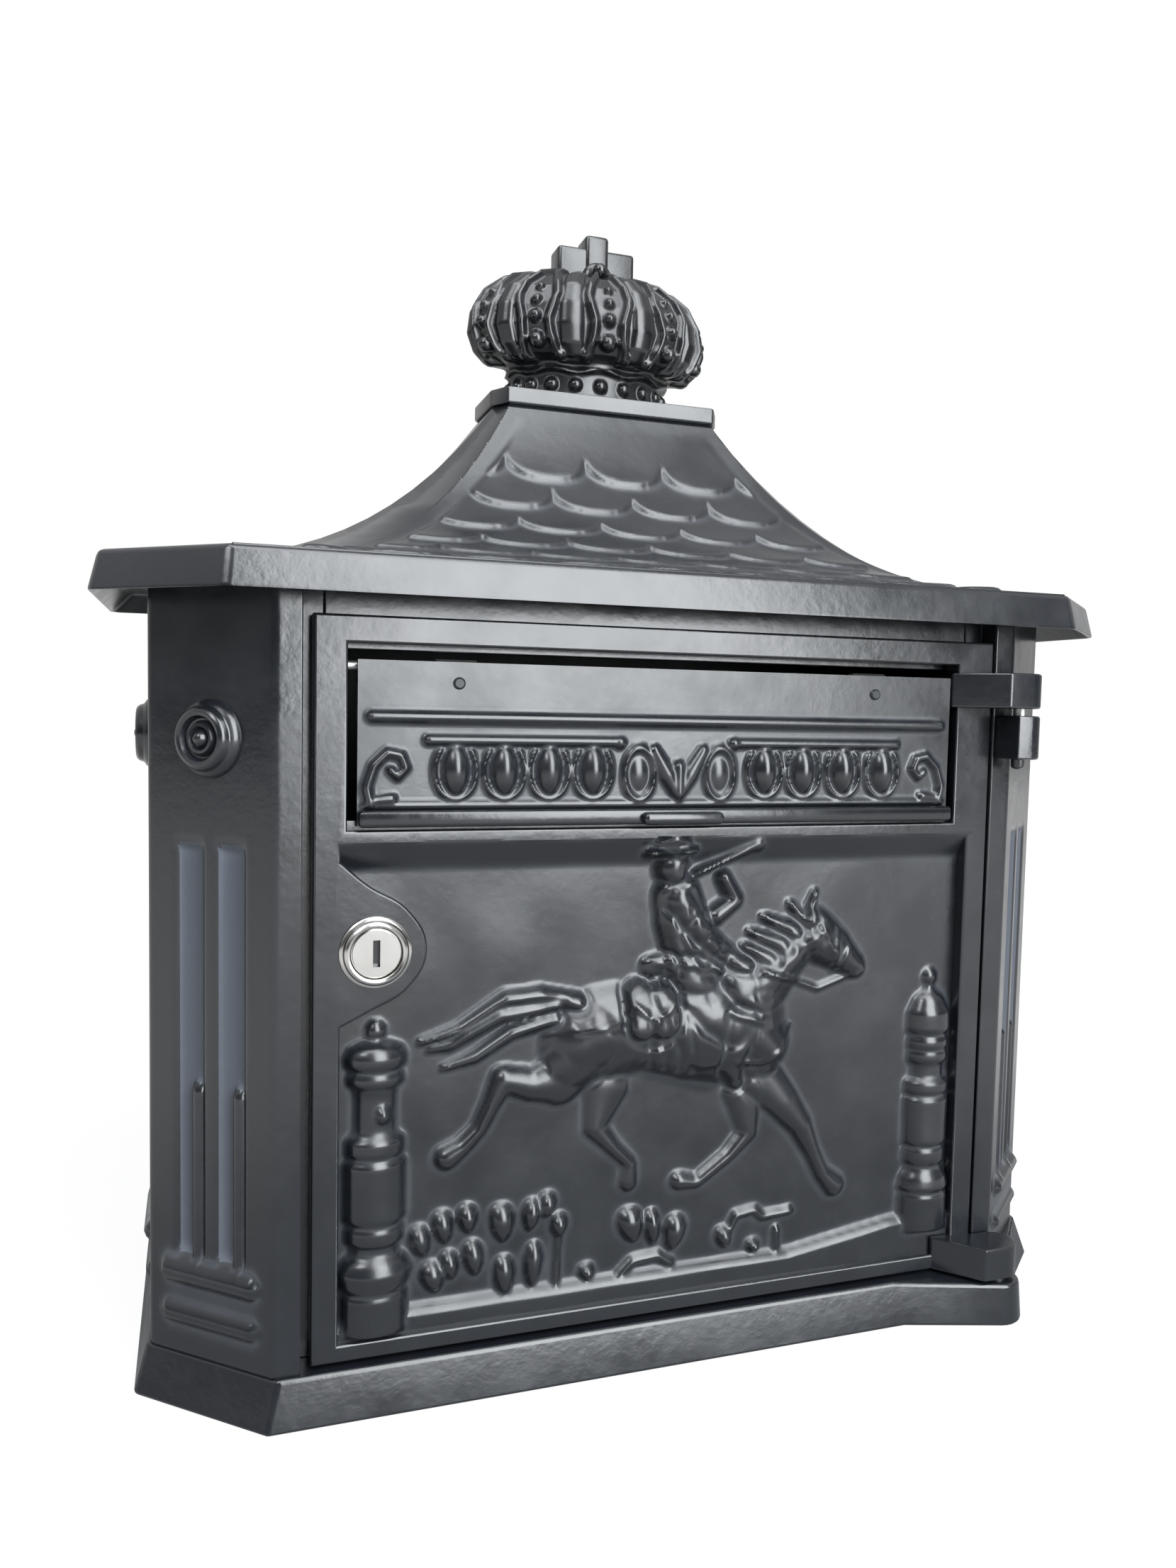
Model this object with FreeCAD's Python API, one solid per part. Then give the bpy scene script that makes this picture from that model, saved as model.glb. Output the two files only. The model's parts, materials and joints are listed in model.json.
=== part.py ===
import FreeCAD, Part
import math
import os

V = FreeCAD.Vector

# Wall letter box of cast aluminium: tiled roof with a crown, splayed sides, hinged door with a letter flap.
# Millimetres. X runs to the right seen from the front, Y into the wall, Z up.
# Pieces are drawn with Y = 0 on the door's front plane, then moved to the middle of the depth.

# Plan of the body
front_half = 142.0
chamfer_run = 38.5
chamfer_depth = 34.0
wall_depth = 121.5
casting_wall = 4.5

# Base
plinth_height = 16.5
plinth_reach = 6.5
plinth_wall = 6.0
floor_thickness = 5.0
ear_start = 99.0
ear_radius = 10.3

# Roof
eave_bottom = 275.0
eave_height = 14.6
eave_reach_front = 15.6
eave_reach_chamfer = 22.3
eave_reach_side = 19.2
eave_slant = 3.5
eave_rim = 5.0
roof_rise = 76.4
roof_power = 2.6
roof_steps = 10
roof_soffit_share = 0.2
roof_wall = 4.0
collar_half = 46.0
collar_side_half = 51.0
collar_front = 82.5
collar_chamfer_depth = 9.5
collar_height = 6.4
collar_lip = 1.8

# Tiles on the front of the roof
tile_pitch = 33.5
tile_courses = 7
first_course = 0.815
course_step = 0.1
tile_drop = 0.061
tile_overlap = 0.017
tile_lift = 1.5
tile_bed = 1.6
tile_head_lift = 0.2
hip_margin = 1.0

# Crown
crown_half = 53.0
crown_depth = 31.0
crown_band_height = 11.0
crown_waist = 0.66
crown_dome_height = 57.0
cross_half = 17.6
cross_arm_height = 13.0
cross_height = 19.5
cross_depth = 13.0
cross_root = 6.0
cross_stub_half = 5.9
arch_width = 6.0
arch_proud = 2.4
arch_root = 3.0
arch_spread = 36.0
arch_steps = 2

# Door and its frame
stile_width = 8.5
lock_side_gap = 3.5
hinge_side_gap = 1.0
door_gap = 1.5
head_gap = 4.5
door_thickness = 9.0
door_edge = 1.0
stop_gap = 0.8
stop_width = 7.5
stop_thickness = 3.0
stop_return = 4.0
stop_joint = 0.2
head_stop_drop = 11.0
sill_stop_height = 10.0

# Recessed picture panel of the door
panel_depth = 5.5
panel_left_border = 9.0
panel_right_border = 9.5
panel_bottom_border = 6.0
panel_top = 194.5
panel_slope = 9.0
panel_edge = 1.0

# Relief on the picture panel, its outlines given from the foot of the panel and its middle
relief_root = 0.5
outline_tolerance = 0.1
horse_height = 3.2
far_leg_height = 1.8
rider_height = 4.4
bag_height = 4.0
horn_height = 3.0
post_radius = 11.0
post_left_inset = 8.5
post_left_foot = 2.0
post_left_height = 108.0
post_right_inset = 12.0
post_right_foot = 10.0
post_right_height = 104.0
ground_height = 13.0
ground_step = 5.0
ground_proud = 3.5

# Letter slot and flap
slot_left_border = 11.0
slot_right_border = 16.0
slot_bottom = 199.5
slot_top_border = 9.3
slot_lip = 3.0
slot_lip_gap = 0.4
flap_side_gap = 3.2
flap_top_gap = 5.2
flap_bottom_gap = 1.0
flap_setback = 0.8
flap_thickness = 2.6
flap_rod_radius = 1.75
flap_rod_depth = 7.0
flap_rod_below_top = 2.0
flap_rod_seat = 4.0
strap_width = 14.0
strap_thickness = 1.2
strap_length = 13.0
rivet_half = 80.7
rivet_below_rod = 5.1
rivet_radius = 1.6
rivet_head_radius = 2.1
rivet_head = 1.0

# Ornament of the flap
bar_radius = 2.2
upper_bar_below_top = 19.8
upper_bar_half = 111.5
short_bar_below_top = 26.2
short_bar_inner = 20.5
short_bar_outer = 92.0
egg_band_below_top = 37.5
egg_half_width = 6.6
egg_half_height = 8.8
egg_height = 3.2
egg_first = 33.5
egg_pitch = 16.5
egg_count = 4
oval_offset = 16.8
oval_half_width = 4.6
oval_height = 1.6
scroll_offset = 105.0
scroll_radius = 7.5
scroll_width = 3.2
scroll_proud = 2.1
leaf_half = 11.0
leaf_height = 9.0
leaf_notch = 3.0
leaf_proud = 2.5
foot_bar_height = 6.0
foot_bar_proud = 4.6
lip_half = 15.5
lip_height = 5.0
lip_reach = 8.5

# Door hinges
pin_radius = 2.5
pin_clearance = 0.08
pin_seat_clearance = 0.02
hinge_offset = 6.0
hinge_forward = 8.0
lug_radius = 7.5
lug_arm_front = 10.5
upper_lug_bottom = 244.7
upper_lug_height = 13.6
upper_arm_root = 12.5
lower_lug_height = 13.0
lower_arm_root = 15.0
body_lug_bottom = 225.0
body_lug_height = 17.0
body_lug_left = 5.5
pin_shoulder_radius = 4.2
pin_shoulder_gap = 0.3
pin_depth = 13.0

# Lock
lock_inset = 20.6
lock_z = 158.6
lock_boss_radius = 17.5
lock_boss_blend = 14.0
lock_boss_step = 9.0
lock_boss_round = 4.0
lock_body_radius = 9.2
lock_hole_clearance = 0.1
bezel_radius = 11.3
bezel_height = 3.2
bezel_chamfer = 1.0
plug_radius = 7.9
plug_clearance = 0.06
plug_recess = 0.6
lock_length = 15.0
nut_flats = 24.0
nut_height = 4.5
keyway_width = 2.4
keyway_height = 9.0
keyway_depth = 6.0
cam_length = 26.0
cam_width = 13.0
cam_thickness = 2.5
cam_gap = 0.3
cam_square = 8.0
cam_screw_radius = 2.0
cam_screw_head_radius = 5.0
cam_screw_head = 2.6
cam_screw_length = 8.0

# Ornament of the splayed faces and the sides
rosette_z = 229.0
rosette_radius = 13.0
rosette_height = 7.0
flute_bottom = 51.0
flute_top = 195.0
flute_half_width = 6.4
flute_depth = 2.3
flute_pitch = 17.0
reed_top = 113.0
reed_radius = 2.4
moulding_half = 21.5
upper_moulding_z = 46.0
upper_moulding_radius = 4.0
lower_moulding_z = 34.3
lower_moulding_radius = 3.3

# Back plate and screws
back_sheet = 2.0
back_flange = 13.0
flange_hole_inset = 30.0
wall_hole_radius = 3.25
wall_hole_half = 120.0
wall_hole_low = 62.0
wall_hole_high = 238.0
screw_radius = 2.0
screw_clearance = 0.1
screw_head_radius = 3.8
screw_head = 2.4
screw_head_gap = 1.0
boss_radius = 6.0
boss_height = 14.0
tab_thickness = 6.0
corner_boss_inset = 13.0
corner_boss_front = 58.0
corner_boss_back = 24.0
crown_screw_radius = 3.0
crown_screw_head_radius = 5.5
crown_screw_head = 3.2
crown_screw_grip = 14.0

# Values that follow from the driving sizes
side_half = front_half + chamfer_run
chamfer_length = math.hypot(chamfer_run, chamfer_depth)
chamfer_angle = math.degrees(math.atan2(chamfer_depth, chamfer_run))
chamfer_nx = chamfer_depth / chamfer_length
chamfer_ny = chamfer_run / chamfer_length
eave_top = eave_bottom + eave_height
roof_top = eave_top + roof_rise
collar_top = roof_top + collar_height
opening_half = front_half - stile_width
door_left = -(opening_half - lock_side_gap)
door_right = opening_half - hinge_side_gap
door_bottom = plinth_height + door_gap
door_top = eave_bottom - head_gap
stop_front = door_thickness + stop_gap
stop_back = stop_front + stop_thickness
panel_left = door_left + panel_left_border
panel_right = door_right - panel_right_border
panel_bottom = door_bottom + panel_bottom_border
panel_middle = (panel_left + panel_right) / 2
slot_left = door_left + slot_left_border
slot_right = door_right - slot_right_border
slot_middle = (slot_left + slot_right) / 2
slot_top = door_top - slot_top_border
flap_left = slot_left + flap_side_gap
flap_right = slot_right - flap_side_gap
flap_top = slot_top - flap_top_gap
flap_bottom = slot_bottom + flap_bottom_gap
flap_back = flap_setback + flap_thickness
rod_z = flap_top - flap_rod_below_top
hinge_x = opening_half + hinge_offset
hinge_y = -hinge_forward
lock_x = door_left + lock_inset
cam_front = lock_length + cam_gap
cam_back = cam_front + cam_thickness
ear_front = ear_radius + hinge_forward
depth_shift = (ear_front - wall_depth) / 2
screw_hole_radius = screw_radius + screw_clearance


# Small helpers

def box(x0, x1, y0, y1, z0, z1):
    return Part.makeBox(x1 - x0, y1 - y0, z1 - z0, V(x0, y0, z0))


def cylinder(radius, start, direction, length):
    return Part.makeCylinder(radius, length, V(*start), V(*direction))


def plan_wire(points, z):
    ring = [V(x, y, z) for x, y in points]
    return Part.makePolygon(ring + [ring[0]])


def plan_prism(points, z0, z1):
    return Part.Face(plan_wire(points, z0)).extrude(V(0, 0, z1 - z0))


def front_face(points, y):
    ring = [V(x, y, z) for x, z in points]
    return Part.Face(Part.makePolygon(ring + [ring[0]]))


def side_prism(points, x0, x1):
    ring = [V(x0, y, z) for y, z in points]
    return Part.Face(Part.makePolygon(ring + [ring[0]])).extrude(V(x1 - x0, 0, 0))


def joined(shapes):
    return shapes[0].fuse(shapes[1:]).removeSplitter() if len(shapes) > 1 else shapes[0]


def mirrored(shape):
    return shape.mirror(V(0, 0, 0), V(1, 0, 0))


def turned(profile, axis_point, axis):
    # revolves a closed profile of (radius, height) points about an axis through axis_point
    ring = [V(radius, 0, height) for radius, height in profile]
    solid = Part.Face(Part.makePolygon(ring + [ring[0]])).revolve(V(0, 0, 0), V(0, 0, 1), 360)
    solid.Placement = FreeCAD.Placement(V(*axis_point), FreeCAD.Rotation(V(0, 0, 1), V(*axis)))
    return solid


# Plan outlines: each face of the body plan moved outward by its own reach

def plan_corners(front, chamfer, side):
    front_x = front_half + (chamfer - front * chamfer_ny) / chamfer_nx
    side_x = side_half + side
    side_y = ((side_x - front_half) * chamfer_nx - chamfer) / chamfer_ny
    return (front_x, -front), (side_x, side_y)


def outline(front_corner, side_corner, back):
    (fx, fy), (sx, sy) = front_corner, side_corner
    return [(-fx, fy), (fx, fy), (sx, sy), (sx, back), (-sx, back), (-sx, sy)]


def body_outline(front, chamfer, side, back):
    return outline(*plan_corners(front, chamfer, side), back)


# Roof casting

def roof_corners(share, inset=0.0):
    # corners of the roof at a share of the way from the eave to the collar
    low_front, low_side = plan_corners(
        eave_reach_front - eave_slant, eave_reach_chamfer - eave_slant, eave_reach_side - eave_slant)
    high_front = (collar_half - collar_lip, collar_front + collar_lip)
    high_side = (collar_side_half - collar_lip, collar_front + collar_chamfer_depth)
    front = [a + (b - a) * share for a, b in zip(low_front, high_front)]
    side = [a + (b - a) * share for a, b in zip(low_side, high_side)]
    return (front[0] - inset, front[1] + inset), (side[0] - inset, side[1] + inset / 2)


def roof_height(share):
    return eave_top + roof_rise * share ** roof_power


def roof_loft(shares, inset, drop, back):
    wires = []
    for share in shares:
        plan = outline(*roof_corners(share, inset), back)
        wires.append(plan_wire(plan, roof_height(share) - drop))
    return Part.makeLoft(wires, True, True)


def front_line(share):
    # half width, depth and height of the front of the roof
    (half, y), _ = roof_corners(share)
    return half, y, roof_height(share)


def tile_course(index):
    # one course of round-ended tiles: a thin wedge, thick at its lower end, cut to scallops
    low = first_course - index * course_step
    high = low + course_step + tile_drop + tile_overlap
    half_low, y_low, z_low = front_line(low)
    half_high, y_high, z_high = front_line(high)
    run, rise = y_high - y_low, z_high - z_low
    slope = math.hypot(run, rise)
    along = V(0, run / slope, rise / slope)
    out = V(0, -rise / slope, run / slope)
    foot = V(0, y_low, z_low)
    head = V(0, y_high, z_high)
    section = [foot + out * tile_lift, head + out * tile_head_lift, head - out * tile_bed,
               foot - out * tile_bed]
    wedge = side_prism([(p.y, p.z) for p in section], -half_low, half_low)
    _, y_cut, z_cut = front_line(low + tile_drop)
    scallop_reach = math.hypot(y_cut - y_low, z_cut - z_low)
    lift = out * (tile_lift + 1)
    depth = out * -(tile_lift + tile_bed + 2)
    stagger = tile_pitch / 2 if index % 2 else 0.0
    count = int(half_low / tile_pitch) + 1
    tiles = []
    for step in range(-count, count + 1):
        middle = step * tile_pitch + stagger
        left = foot + lift + along * scallop_reach + V(middle - tile_pitch / 2, 0, 0)
        right = left + V(tile_pitch, 0, 0)
        tip = foot + lift + V(middle, 0, 0)
        top_right = right + along * (slope - scallop_reach + 1)
        top_left = left + along * (slope - scallop_reach + 1)
        edge = [Part.Arc(left, tip, right).toShape(), Part.makeLine(right, top_right),
                Part.makeLine(top_right, top_left), Part.makeLine(top_left, left)]
        tiles.append(Part.Face(Part.Wire(edge)).extrude(depth))
    scallops = joined(tiles)
    low_half, high_half = half_low - hip_margin, half_high - hip_margin
    nose = y_low - tile_lift - 1
    limits = plan_prism([(-low_half, nose), (low_half, nose), (low_half, y_low), (high_half, y_high),
                         (-high_half, y_high), (-low_half, y_low)], eave_top - tile_bed, roof_top)
    return wedge.common(scallops).common(limits)


def roof_casting():
    shares = [step / roof_steps for step in range(roof_steps + 1)]
    soffit = roof_soffit()
    eave_plan = body_outline(eave_reach_front, eave_reach_chamfer, eave_reach_side, wall_depth)
    fascia = Part.makeLoft([plan_wire(eave_plan, eave_bottom),
                            plan_wire(outline(*roof_corners(0.0), wall_depth), eave_top)], True, True)
    canopy = roof_loft(shares, 0.0, 0.0, wall_depth)
    collar = plan_prism(outline((collar_half, collar_front),
                                (collar_side_half, collar_front + collar_chamfer_depth), wall_depth),
                        roof_top, collar_top)
    courses = [tile_course(index) for index in range(tile_courses)]
    outer = joined([fascia, canopy, collar] + courses)
    inward = eave_rim + eave_slant
    rim_plan = body_outline(eave_reach_front - inward, eave_reach_chamfer - inward, eave_reach_side - inward,
                            wall_depth - roof_wall)
    rim = plan_prism(rim_plan, eave_bottom - 1, soffit)
    inner_shares = [share for share in shares if share >= roof_soffit_share]
    inner = roof_loft(inner_shares, roof_wall, roof_wall, wall_depth - roof_wall)
    shell = outer.cut([rim, inner])
    stop_half = opening_half - stop_width - stop_joint
    head_stop = box(-stop_half, stop_half, stop_front, stop_back, door_top - head_stop_drop, soffit + 1)
    seat = soffit - boss_height
    bosses = [cylinder(boss_radius, (x, y, seat), (0, 0, 1), boss_height + roof_wall / 2)
              for x, y in corner_boss_places()]
    shell = joined([shell, head_stop] + bosses)
    holes = [cylinder(screw_hole_radius, (x, y, seat - 1), (0, 0, 1), boss_height)
             for x, y in corner_boss_places()]
    hole_foot = (0, crown_screw_y(), roof_top - roof_wall * 3)
    crown_hole = cylinder(crown_screw_radius + screw_clearance, hole_foot, (0, 0, 1),
                          collar_height + roof_wall * 4)
    return shell.cut(holes + [crown_hole])


def corner_boss_places():
    x = side_half - corner_boss_inset
    return [(s * x, y) for s in (-1, 1) for y in (corner_boss_front, wall_depth - corner_boss_back)]


def roof_soffit():
    return roof_height(roof_soffit_share) - roof_wall


# Crown finial: a half-round crown with a flat back on the wall

def half_oval(half, depth, z):
    middle = V(0, wall_depth, z)
    arc = Part.Ellipse(middle, half, depth) if half > depth else Part.Circle(middle, V(0, 0, 1), half)
    curve = arc.toShape(math.pi, 2 * math.pi)
    return Part.Wire([curve, Part.makeLine(curve.Vertexes[-1].Point, curve.Vertexes[0].Point)])


def crown_stations():
    # (share of full width, height above the collar) from the band up over the belly to the crown of the dome
    rise = crown_dome_height - crown_band_height
    curve = ((crown_waist, 0.0), (0.86, 0.13), (0.97, 0.29), (1.0, 0.46), (0.95, 0.66), (0.8, 0.83),
             (0.58, 0.94), (0.3, 1.0))
    return [(share, crown_band_height + rise * level) for share, level in curve]


def crown_screw_y():
    return wall_depth - crown_depth / 2


def crown_finial():
    rings = [half_oval(crown_half * share, crown_depth * share, collar_top + height)
             for share, height in crown_stations()]
    foot = half_oval(crown_half * crown_waist, crown_depth * crown_waist, collar_top)
    dome = Part.makeLoft([foot] + rings, True, True)
    crown_top = collar_top + crown_dome_height
    back = wall_depth
    arms = box(-cross_half, cross_half, back - cross_depth, back, crown_top - cross_root,
               crown_top + cross_arm_height)
    stub = box(-cross_stub_half, cross_stub_half, back - cross_depth, back, crown_top,
               crown_top + cross_height)
    turns = [math.radians(step * arch_spread) for step in range(-arch_steps, arch_steps + 1)]
    solid = joined([dome, arms, stub] + [crown_arch(turn) for turn in turns])
    behind = box(-2 * crown_half, 2 * crown_half, back, back + 2 * crown_depth, collar_top,
                 crown_top + cross_height)
    hole = cylinder(crown_screw_radius - screw_clearance, (0, crown_screw_y(), collar_top - 1), (0, 0, 1),
                    crown_screw_grip + 2)
    return solid.cut([behind, hole])


def crown_arch(angle):
    # a flat rib that follows the dome from the band to the cross
    across = V(crown_half * math.sin(angle), -crown_depth * math.cos(angle), 0)
    reach = across.Length
    outward = across / reach
    sideways = V(-outward.y, outward.x, 0)
    stations = crown_stations()
    outer = [(share * reach + arch_proud, height) for share, height in stations]
    inner = [(share * reach - arch_root, height) for share, height in reversed(stations)]
    centre = V(0, wall_depth, collar_top) - sideways * (arch_width / 2)
    ring = [centre + outward * radius + V(0, 0, height) for radius, height in outer + inner]
    return Part.Face(Part.makePolygon(ring + [ring[0]])).extrude(sideways * arch_width)


# Side castings

def rosette(x, z):
    r, h = rosette_radius, rosette_height
    profile = [(0, -1), (r, -1), (r, h * 0.2), (r * 0.86, h * 0.42), (r * 0.7, h * 0.2),
               (r * 0.62, h * 0.55), (r * 0.4, h * 0.72), (r * 0.34, h * 0.5), (r * 0.26, h * 0.9), (0, h)]
    return turned(profile, (x, 0, z), (0, -1, 0))


def face_ornament(width):
    # raised and cut ornament of one face, drawn on the plane Y = 0 with X from 0 to width
    middle = width / 2
    flute_radius = (flute_half_width ** 2 + flute_depth ** 2) / (2 * flute_depth)
    cuts = []
    raised = [rosette(middle, rosette_z)]
    for side in (-1, 1):
        x = middle + side * flute_pitch / 2
        cuts.append(cylinder(flute_radius, (x, flute_depth - flute_radius, flute_bottom), (0, 0, 1),
                             flute_top - flute_bottom))
        reed_foot = (x, flute_depth, flute_bottom - 1)
        raised.append(cylinder(reed_radius, reed_foot, (0, 0, 1), reed_top - flute_bottom))
    for z, radius in ((upper_moulding_z, upper_moulding_radius), (lower_moulding_z, lower_moulding_radius)):
        raised.append(cylinder(radius, (middle - moulding_half, 0, z), (1, 0, 0), 2 * moulding_half))
    return raised, cuts


def set_on_face(shape, angle, corner):
    moved = shape.copy()
    moved.rotate(V(0, 0, 0), V(0, 0, 1), angle)
    moved.translate(V(corner[0], corner[1], 0))
    return moved


def side_shell():
    # right-hand casting: front stile, splayed face, side and back flange, as one bent wall
    back = wall_depth - back_sheet
    _, (in_side_x, in_side_y) = plan_corners(-casting_wall, -casting_wall, -casting_wall)
    section = [
        (opening_half, 0), (front_half, 0), (side_half, chamfer_depth), (side_half, back),
        (side_half - back_flange, back), (side_half - back_flange, back - casting_wall),
        (in_side_x, back - casting_wall), (in_side_x, in_side_y), (opening_half + stop_return, stop_back),
        (opening_half - stop_width, stop_back), (opening_half - stop_width, stop_front),
        (opening_half, stop_front)]
    rim_notch = box(side_half - back_flange - 1, side_half + 1, wall_depth - roof_wall - stop_joint,
                    wall_depth, eave_bottom - stop_joint, roof_soffit() + 1)
    return plan_prism(section, plinth_height, roof_soffit()).cut(rim_notch)


def corner_tabs():
    # lugs inside the casting for the screws of the roof and of the base
    solids = []
    holes = []
    x = side_half - corner_boss_inset
    outer = side_half - casting_wall / 2
    roof_seat = roof_soffit() - boss_height
    levels = ((roof_seat - tab_thickness, roof_seat), (plinth_height, plinth_height + boss_height))
    for y in (corner_boss_front, wall_depth - corner_boss_back):
        for low, high in levels:
            solids.append(box(x - boss_radius, outer, y - boss_radius, y + boss_radius, low, high))
            holes.append(cylinder(screw_hole_radius, (x, y, low - 1), (0, 0, 1), high - low + 2))
    return solids, holes


def back_flange_holes():
    x = side_half - casting_wall - screw_head_radius - screw_head_gap
    low, high = plinth_height + flange_hole_inset, eave_bottom - flange_hole_inset
    return [(x, z) for z in (low, (low + high) / 2, high)]


def side_casting(with_lug):
    shell = side_shell()
    faces = ((chamfer_length, chamfer_angle, (front_half, 0)),
             (wall_depth - back_sheet - chamfer_depth, 90, (side_half, chamfer_depth)))
    raised = []
    cuts = []
    for width, angle, corner in faces:
        face_raised, face_cuts = face_ornament(width)
        raised += [set_on_face(shape, angle, corner) for shape in face_raised]
        cuts += [set_on_face(shape, angle, corner) for shape in face_cuts]
    tabs, holes = corner_tabs()
    back = wall_depth - back_sheet
    for x, z in back_flange_holes():
        holes.append(cylinder(screw_hole_radius, (x, back + 1, z), (0, -1, 0), casting_wall + 2))
    solid = joined([shell.cut(cuts)] + raised + tabs)
    inside = plan_prism(inner_plan(), plinth_height, roof_soffit())
    solid = solid.cut(inside.cut(tabs)).cut(holes)
    if with_lug:
        solid = joined([solid, body_lug()]).cut(
            cylinder(pin_radius + pin_seat_clearance, (hinge_x, hinge_y, body_lug_bottom - 1), (0, 0, 1),
                     body_lug_height + 2))
    return solid


def inner_plan():
    _, (in_side_x, in_side_y) = plan_corners(-casting_wall, -casting_wall, -casting_wall)
    back = wall_depth - back_sheet - casting_wall
    return [(opening_half + stop_return, stop_back + 0.01), (in_side_x, in_side_y), (in_side_x, back),
            (opening_half + stop_return, back)]


def body_lug():
    # fixed lug beside the door, below the door's own upper lug
    z0, z1 = body_lug_bottom, body_lug_bottom + body_lug_height
    barrel = cylinder(lug_radius, (hinge_x, hinge_y, z0), (0, 0, 1), body_lug_height)
    left = hinge_x - body_lug_left
    front = hinge_y - lug_radius
    block = box(left, hinge_x, front, casting_wall / 2, z0, z1)
    right = hinge_x + lug_radius
    root = plan_prism([(hinge_x, hinge_y), (right, hinge_y),
                       (right, (right - front_half) * chamfer_depth / chamfer_run + 1),
                       (hinge_x, casting_wall / 2)], z0, z1)
    return joined([barrel, block, root])


# Base casting

def ear_plan():
    # the plinth runs out to the right in a straight flare that ends round the lower pin
    start = (ear_start, -plinth_reach)
    dx, dy = hinge_x - start[0], hinge_y - start[1]
    turn = math.atan2(dy, dx) - math.asin(ear_radius / math.hypot(dx, dy))
    tangent = (hinge_x + ear_radius * math.sin(turn), hinge_y - ear_radius * math.cos(turn))
    right = hinge_x + ear_radius
    return [start, tangent, (hinge_x, hinge_y), (right, hinge_y), (right, casting_wall),
            (ear_start, casting_wall)]


def base_casting():
    plinth = plan_prism(body_outline(plinth_reach, plinth_reach, plinth_reach, wall_depth), 0, plinth_height)
    ear = joined([plan_prism(ear_plan(), 0, plinth_height),
                  cylinder(ear_radius, (hinge_x, hinge_y, 0), (0, 0, 1), plinth_height)])
    hollow = plan_prism(body_outline(plinth_reach - plinth_wall, plinth_reach - plinth_wall,
                                     plinth_reach - plinth_wall, wall_depth - plinth_wall), -1,
                        plinth_height - floor_thickness)
    keep_ear = cylinder(ear_radius, (hinge_x, hinge_y, -1), (0, 0, 1), plinth_height)
    stop_half = opening_half - stop_width - stop_joint
    sill_stop = box(-stop_half, stop_half, stop_front, stop_back, plinth_height - 1,
                    plinth_height + sill_stop_height)
    solid = joined([plinth.cut(hollow.cut(keep_ear)), ear, sill_stop])
    holes = [cylinder(screw_hole_radius, (x, y, -1), (0, 0, 1), plinth_height + 2)
             for x, y in corner_boss_places()]
    pin_foot = (hinge_x, hinge_y, plinth_height - pin_depth)
    holes.append(cylinder(pin_radius + pin_seat_clearance, pin_foot, (0, 0, 1), pin_depth + 1))
    return solid.cut(holes)


# Door casting

def lug_arm(z0, height, root):
    # a lug that leaves the door's front on a slanting arm and ends round the pin
    front = hinge_y - lug_radius
    arm = plan_prism([(door_right - root, 1), (door_right - root, 0), (hinge_x - lug_arm_front, front),
                      (hinge_x, front), (hinge_x, hinge_y + lug_radius), (door_right, hinge_y + lug_radius),
                      (door_right, 1)], z0, z0 + height)
    barrel = cylinder(lug_radius, (hinge_x, hinge_y, z0), (0, 0, 1), height)
    return joined([arm, barrel])


def post(x, foot, height):
    # turned bollard that stands half out of the picture panel
    shares = [(0.95, 0.0), (0.95, 0.12), (1.0, 0.17), (0.7, 0.22), (0.7, 0.27), (0.88, 0.29), (0.74, 0.32),
              (0.94, 0.36), (0.94, 0.47), (0.7, 0.52), (0.86, 0.56), (0.66, 0.6), (0.66, 0.73), (0.9, 0.78),
              (0.6, 0.9), (0.24, 0.93), (0.0, 1.0)]
    profile = [(0.0, 0.0)] + [(post_radius * share, height * rise) for share, rise in shares]
    return turned(profile, (x, panel_depth, foot), (0, 0, 1))


def smooth_relief(points, height):
    # a raised figure with a flowing outline on the picture panel
    curve = Part.BSplineCurve()
    curve.interpolate([on_panel(x, z) for x, z in points], PeriodicFlag=True)
    arcs = [arc.toShape() for arc in curve.toBiArcs(outline_tolerance)]
    return Part.Face(Part.Wire(arcs)).extrude(V(0, -height - relief_root, 0))


def plain_relief(points, height):
    # a raised figure with straight edges on the picture panel
    ring = [on_panel(x, z) for x, z in points]
    return Part.Face(Part.makePolygon(ring + [ring[0]])).extrude(V(0, -height - relief_root, 0))


def on_panel(x, z):
    # a place on the picture panel, from its middle and its foot, sunk so that the relief is rooted in it
    return V(panel_middle + x, panel_depth + relief_root, panel_bottom + z)


def horse():
    # galloping horse: back, tail, hind leg, belly, foreleg, chest, head and neck in turn
    near = [(28, 130), (-3, 122), (-29, 120), (-41, 114), (-53, 114), (-69, 112), (-85, 103), (-93, 101),
            (-84, 95), (-71, 98), (-55, 106), (-46, 107), (-49, 93), (-63, 89), (-66, 83), (-76, 69),
            (-86, 62), (-87, 56), (-76, 60), (-65, 70), (-58, 78), (-43, 77), (-27, 79), (-15, 87), (9, 77),
            (27, 74), (43, 66), (53, 54), (60, 40), (67, 30), (74, 31), (67, 44), (57, 64), (46, 77),
            (47, 94), (48, 110), (61, 118), (74, 118), (77, 123), (69, 138), (59, 147), (51, 142), (39, 139)]
    far_hind = [(-34, 80), (-33, 66), (-23, 55), (-19, 47), (-20, 41), (-14, 42), (-15, 51), (-27, 66),
                (-19, 82)]
    far_fore = [(25, 76), (27, 57), (12, 46), (2, 46), (3, 40), (13, 39), (32, 54), (35, 72)]
    return [smooth_relief(near, horse_height), smooth_relief(far_hind, far_leg_height),
            smooth_relief(far_fore, far_leg_height)]


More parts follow.
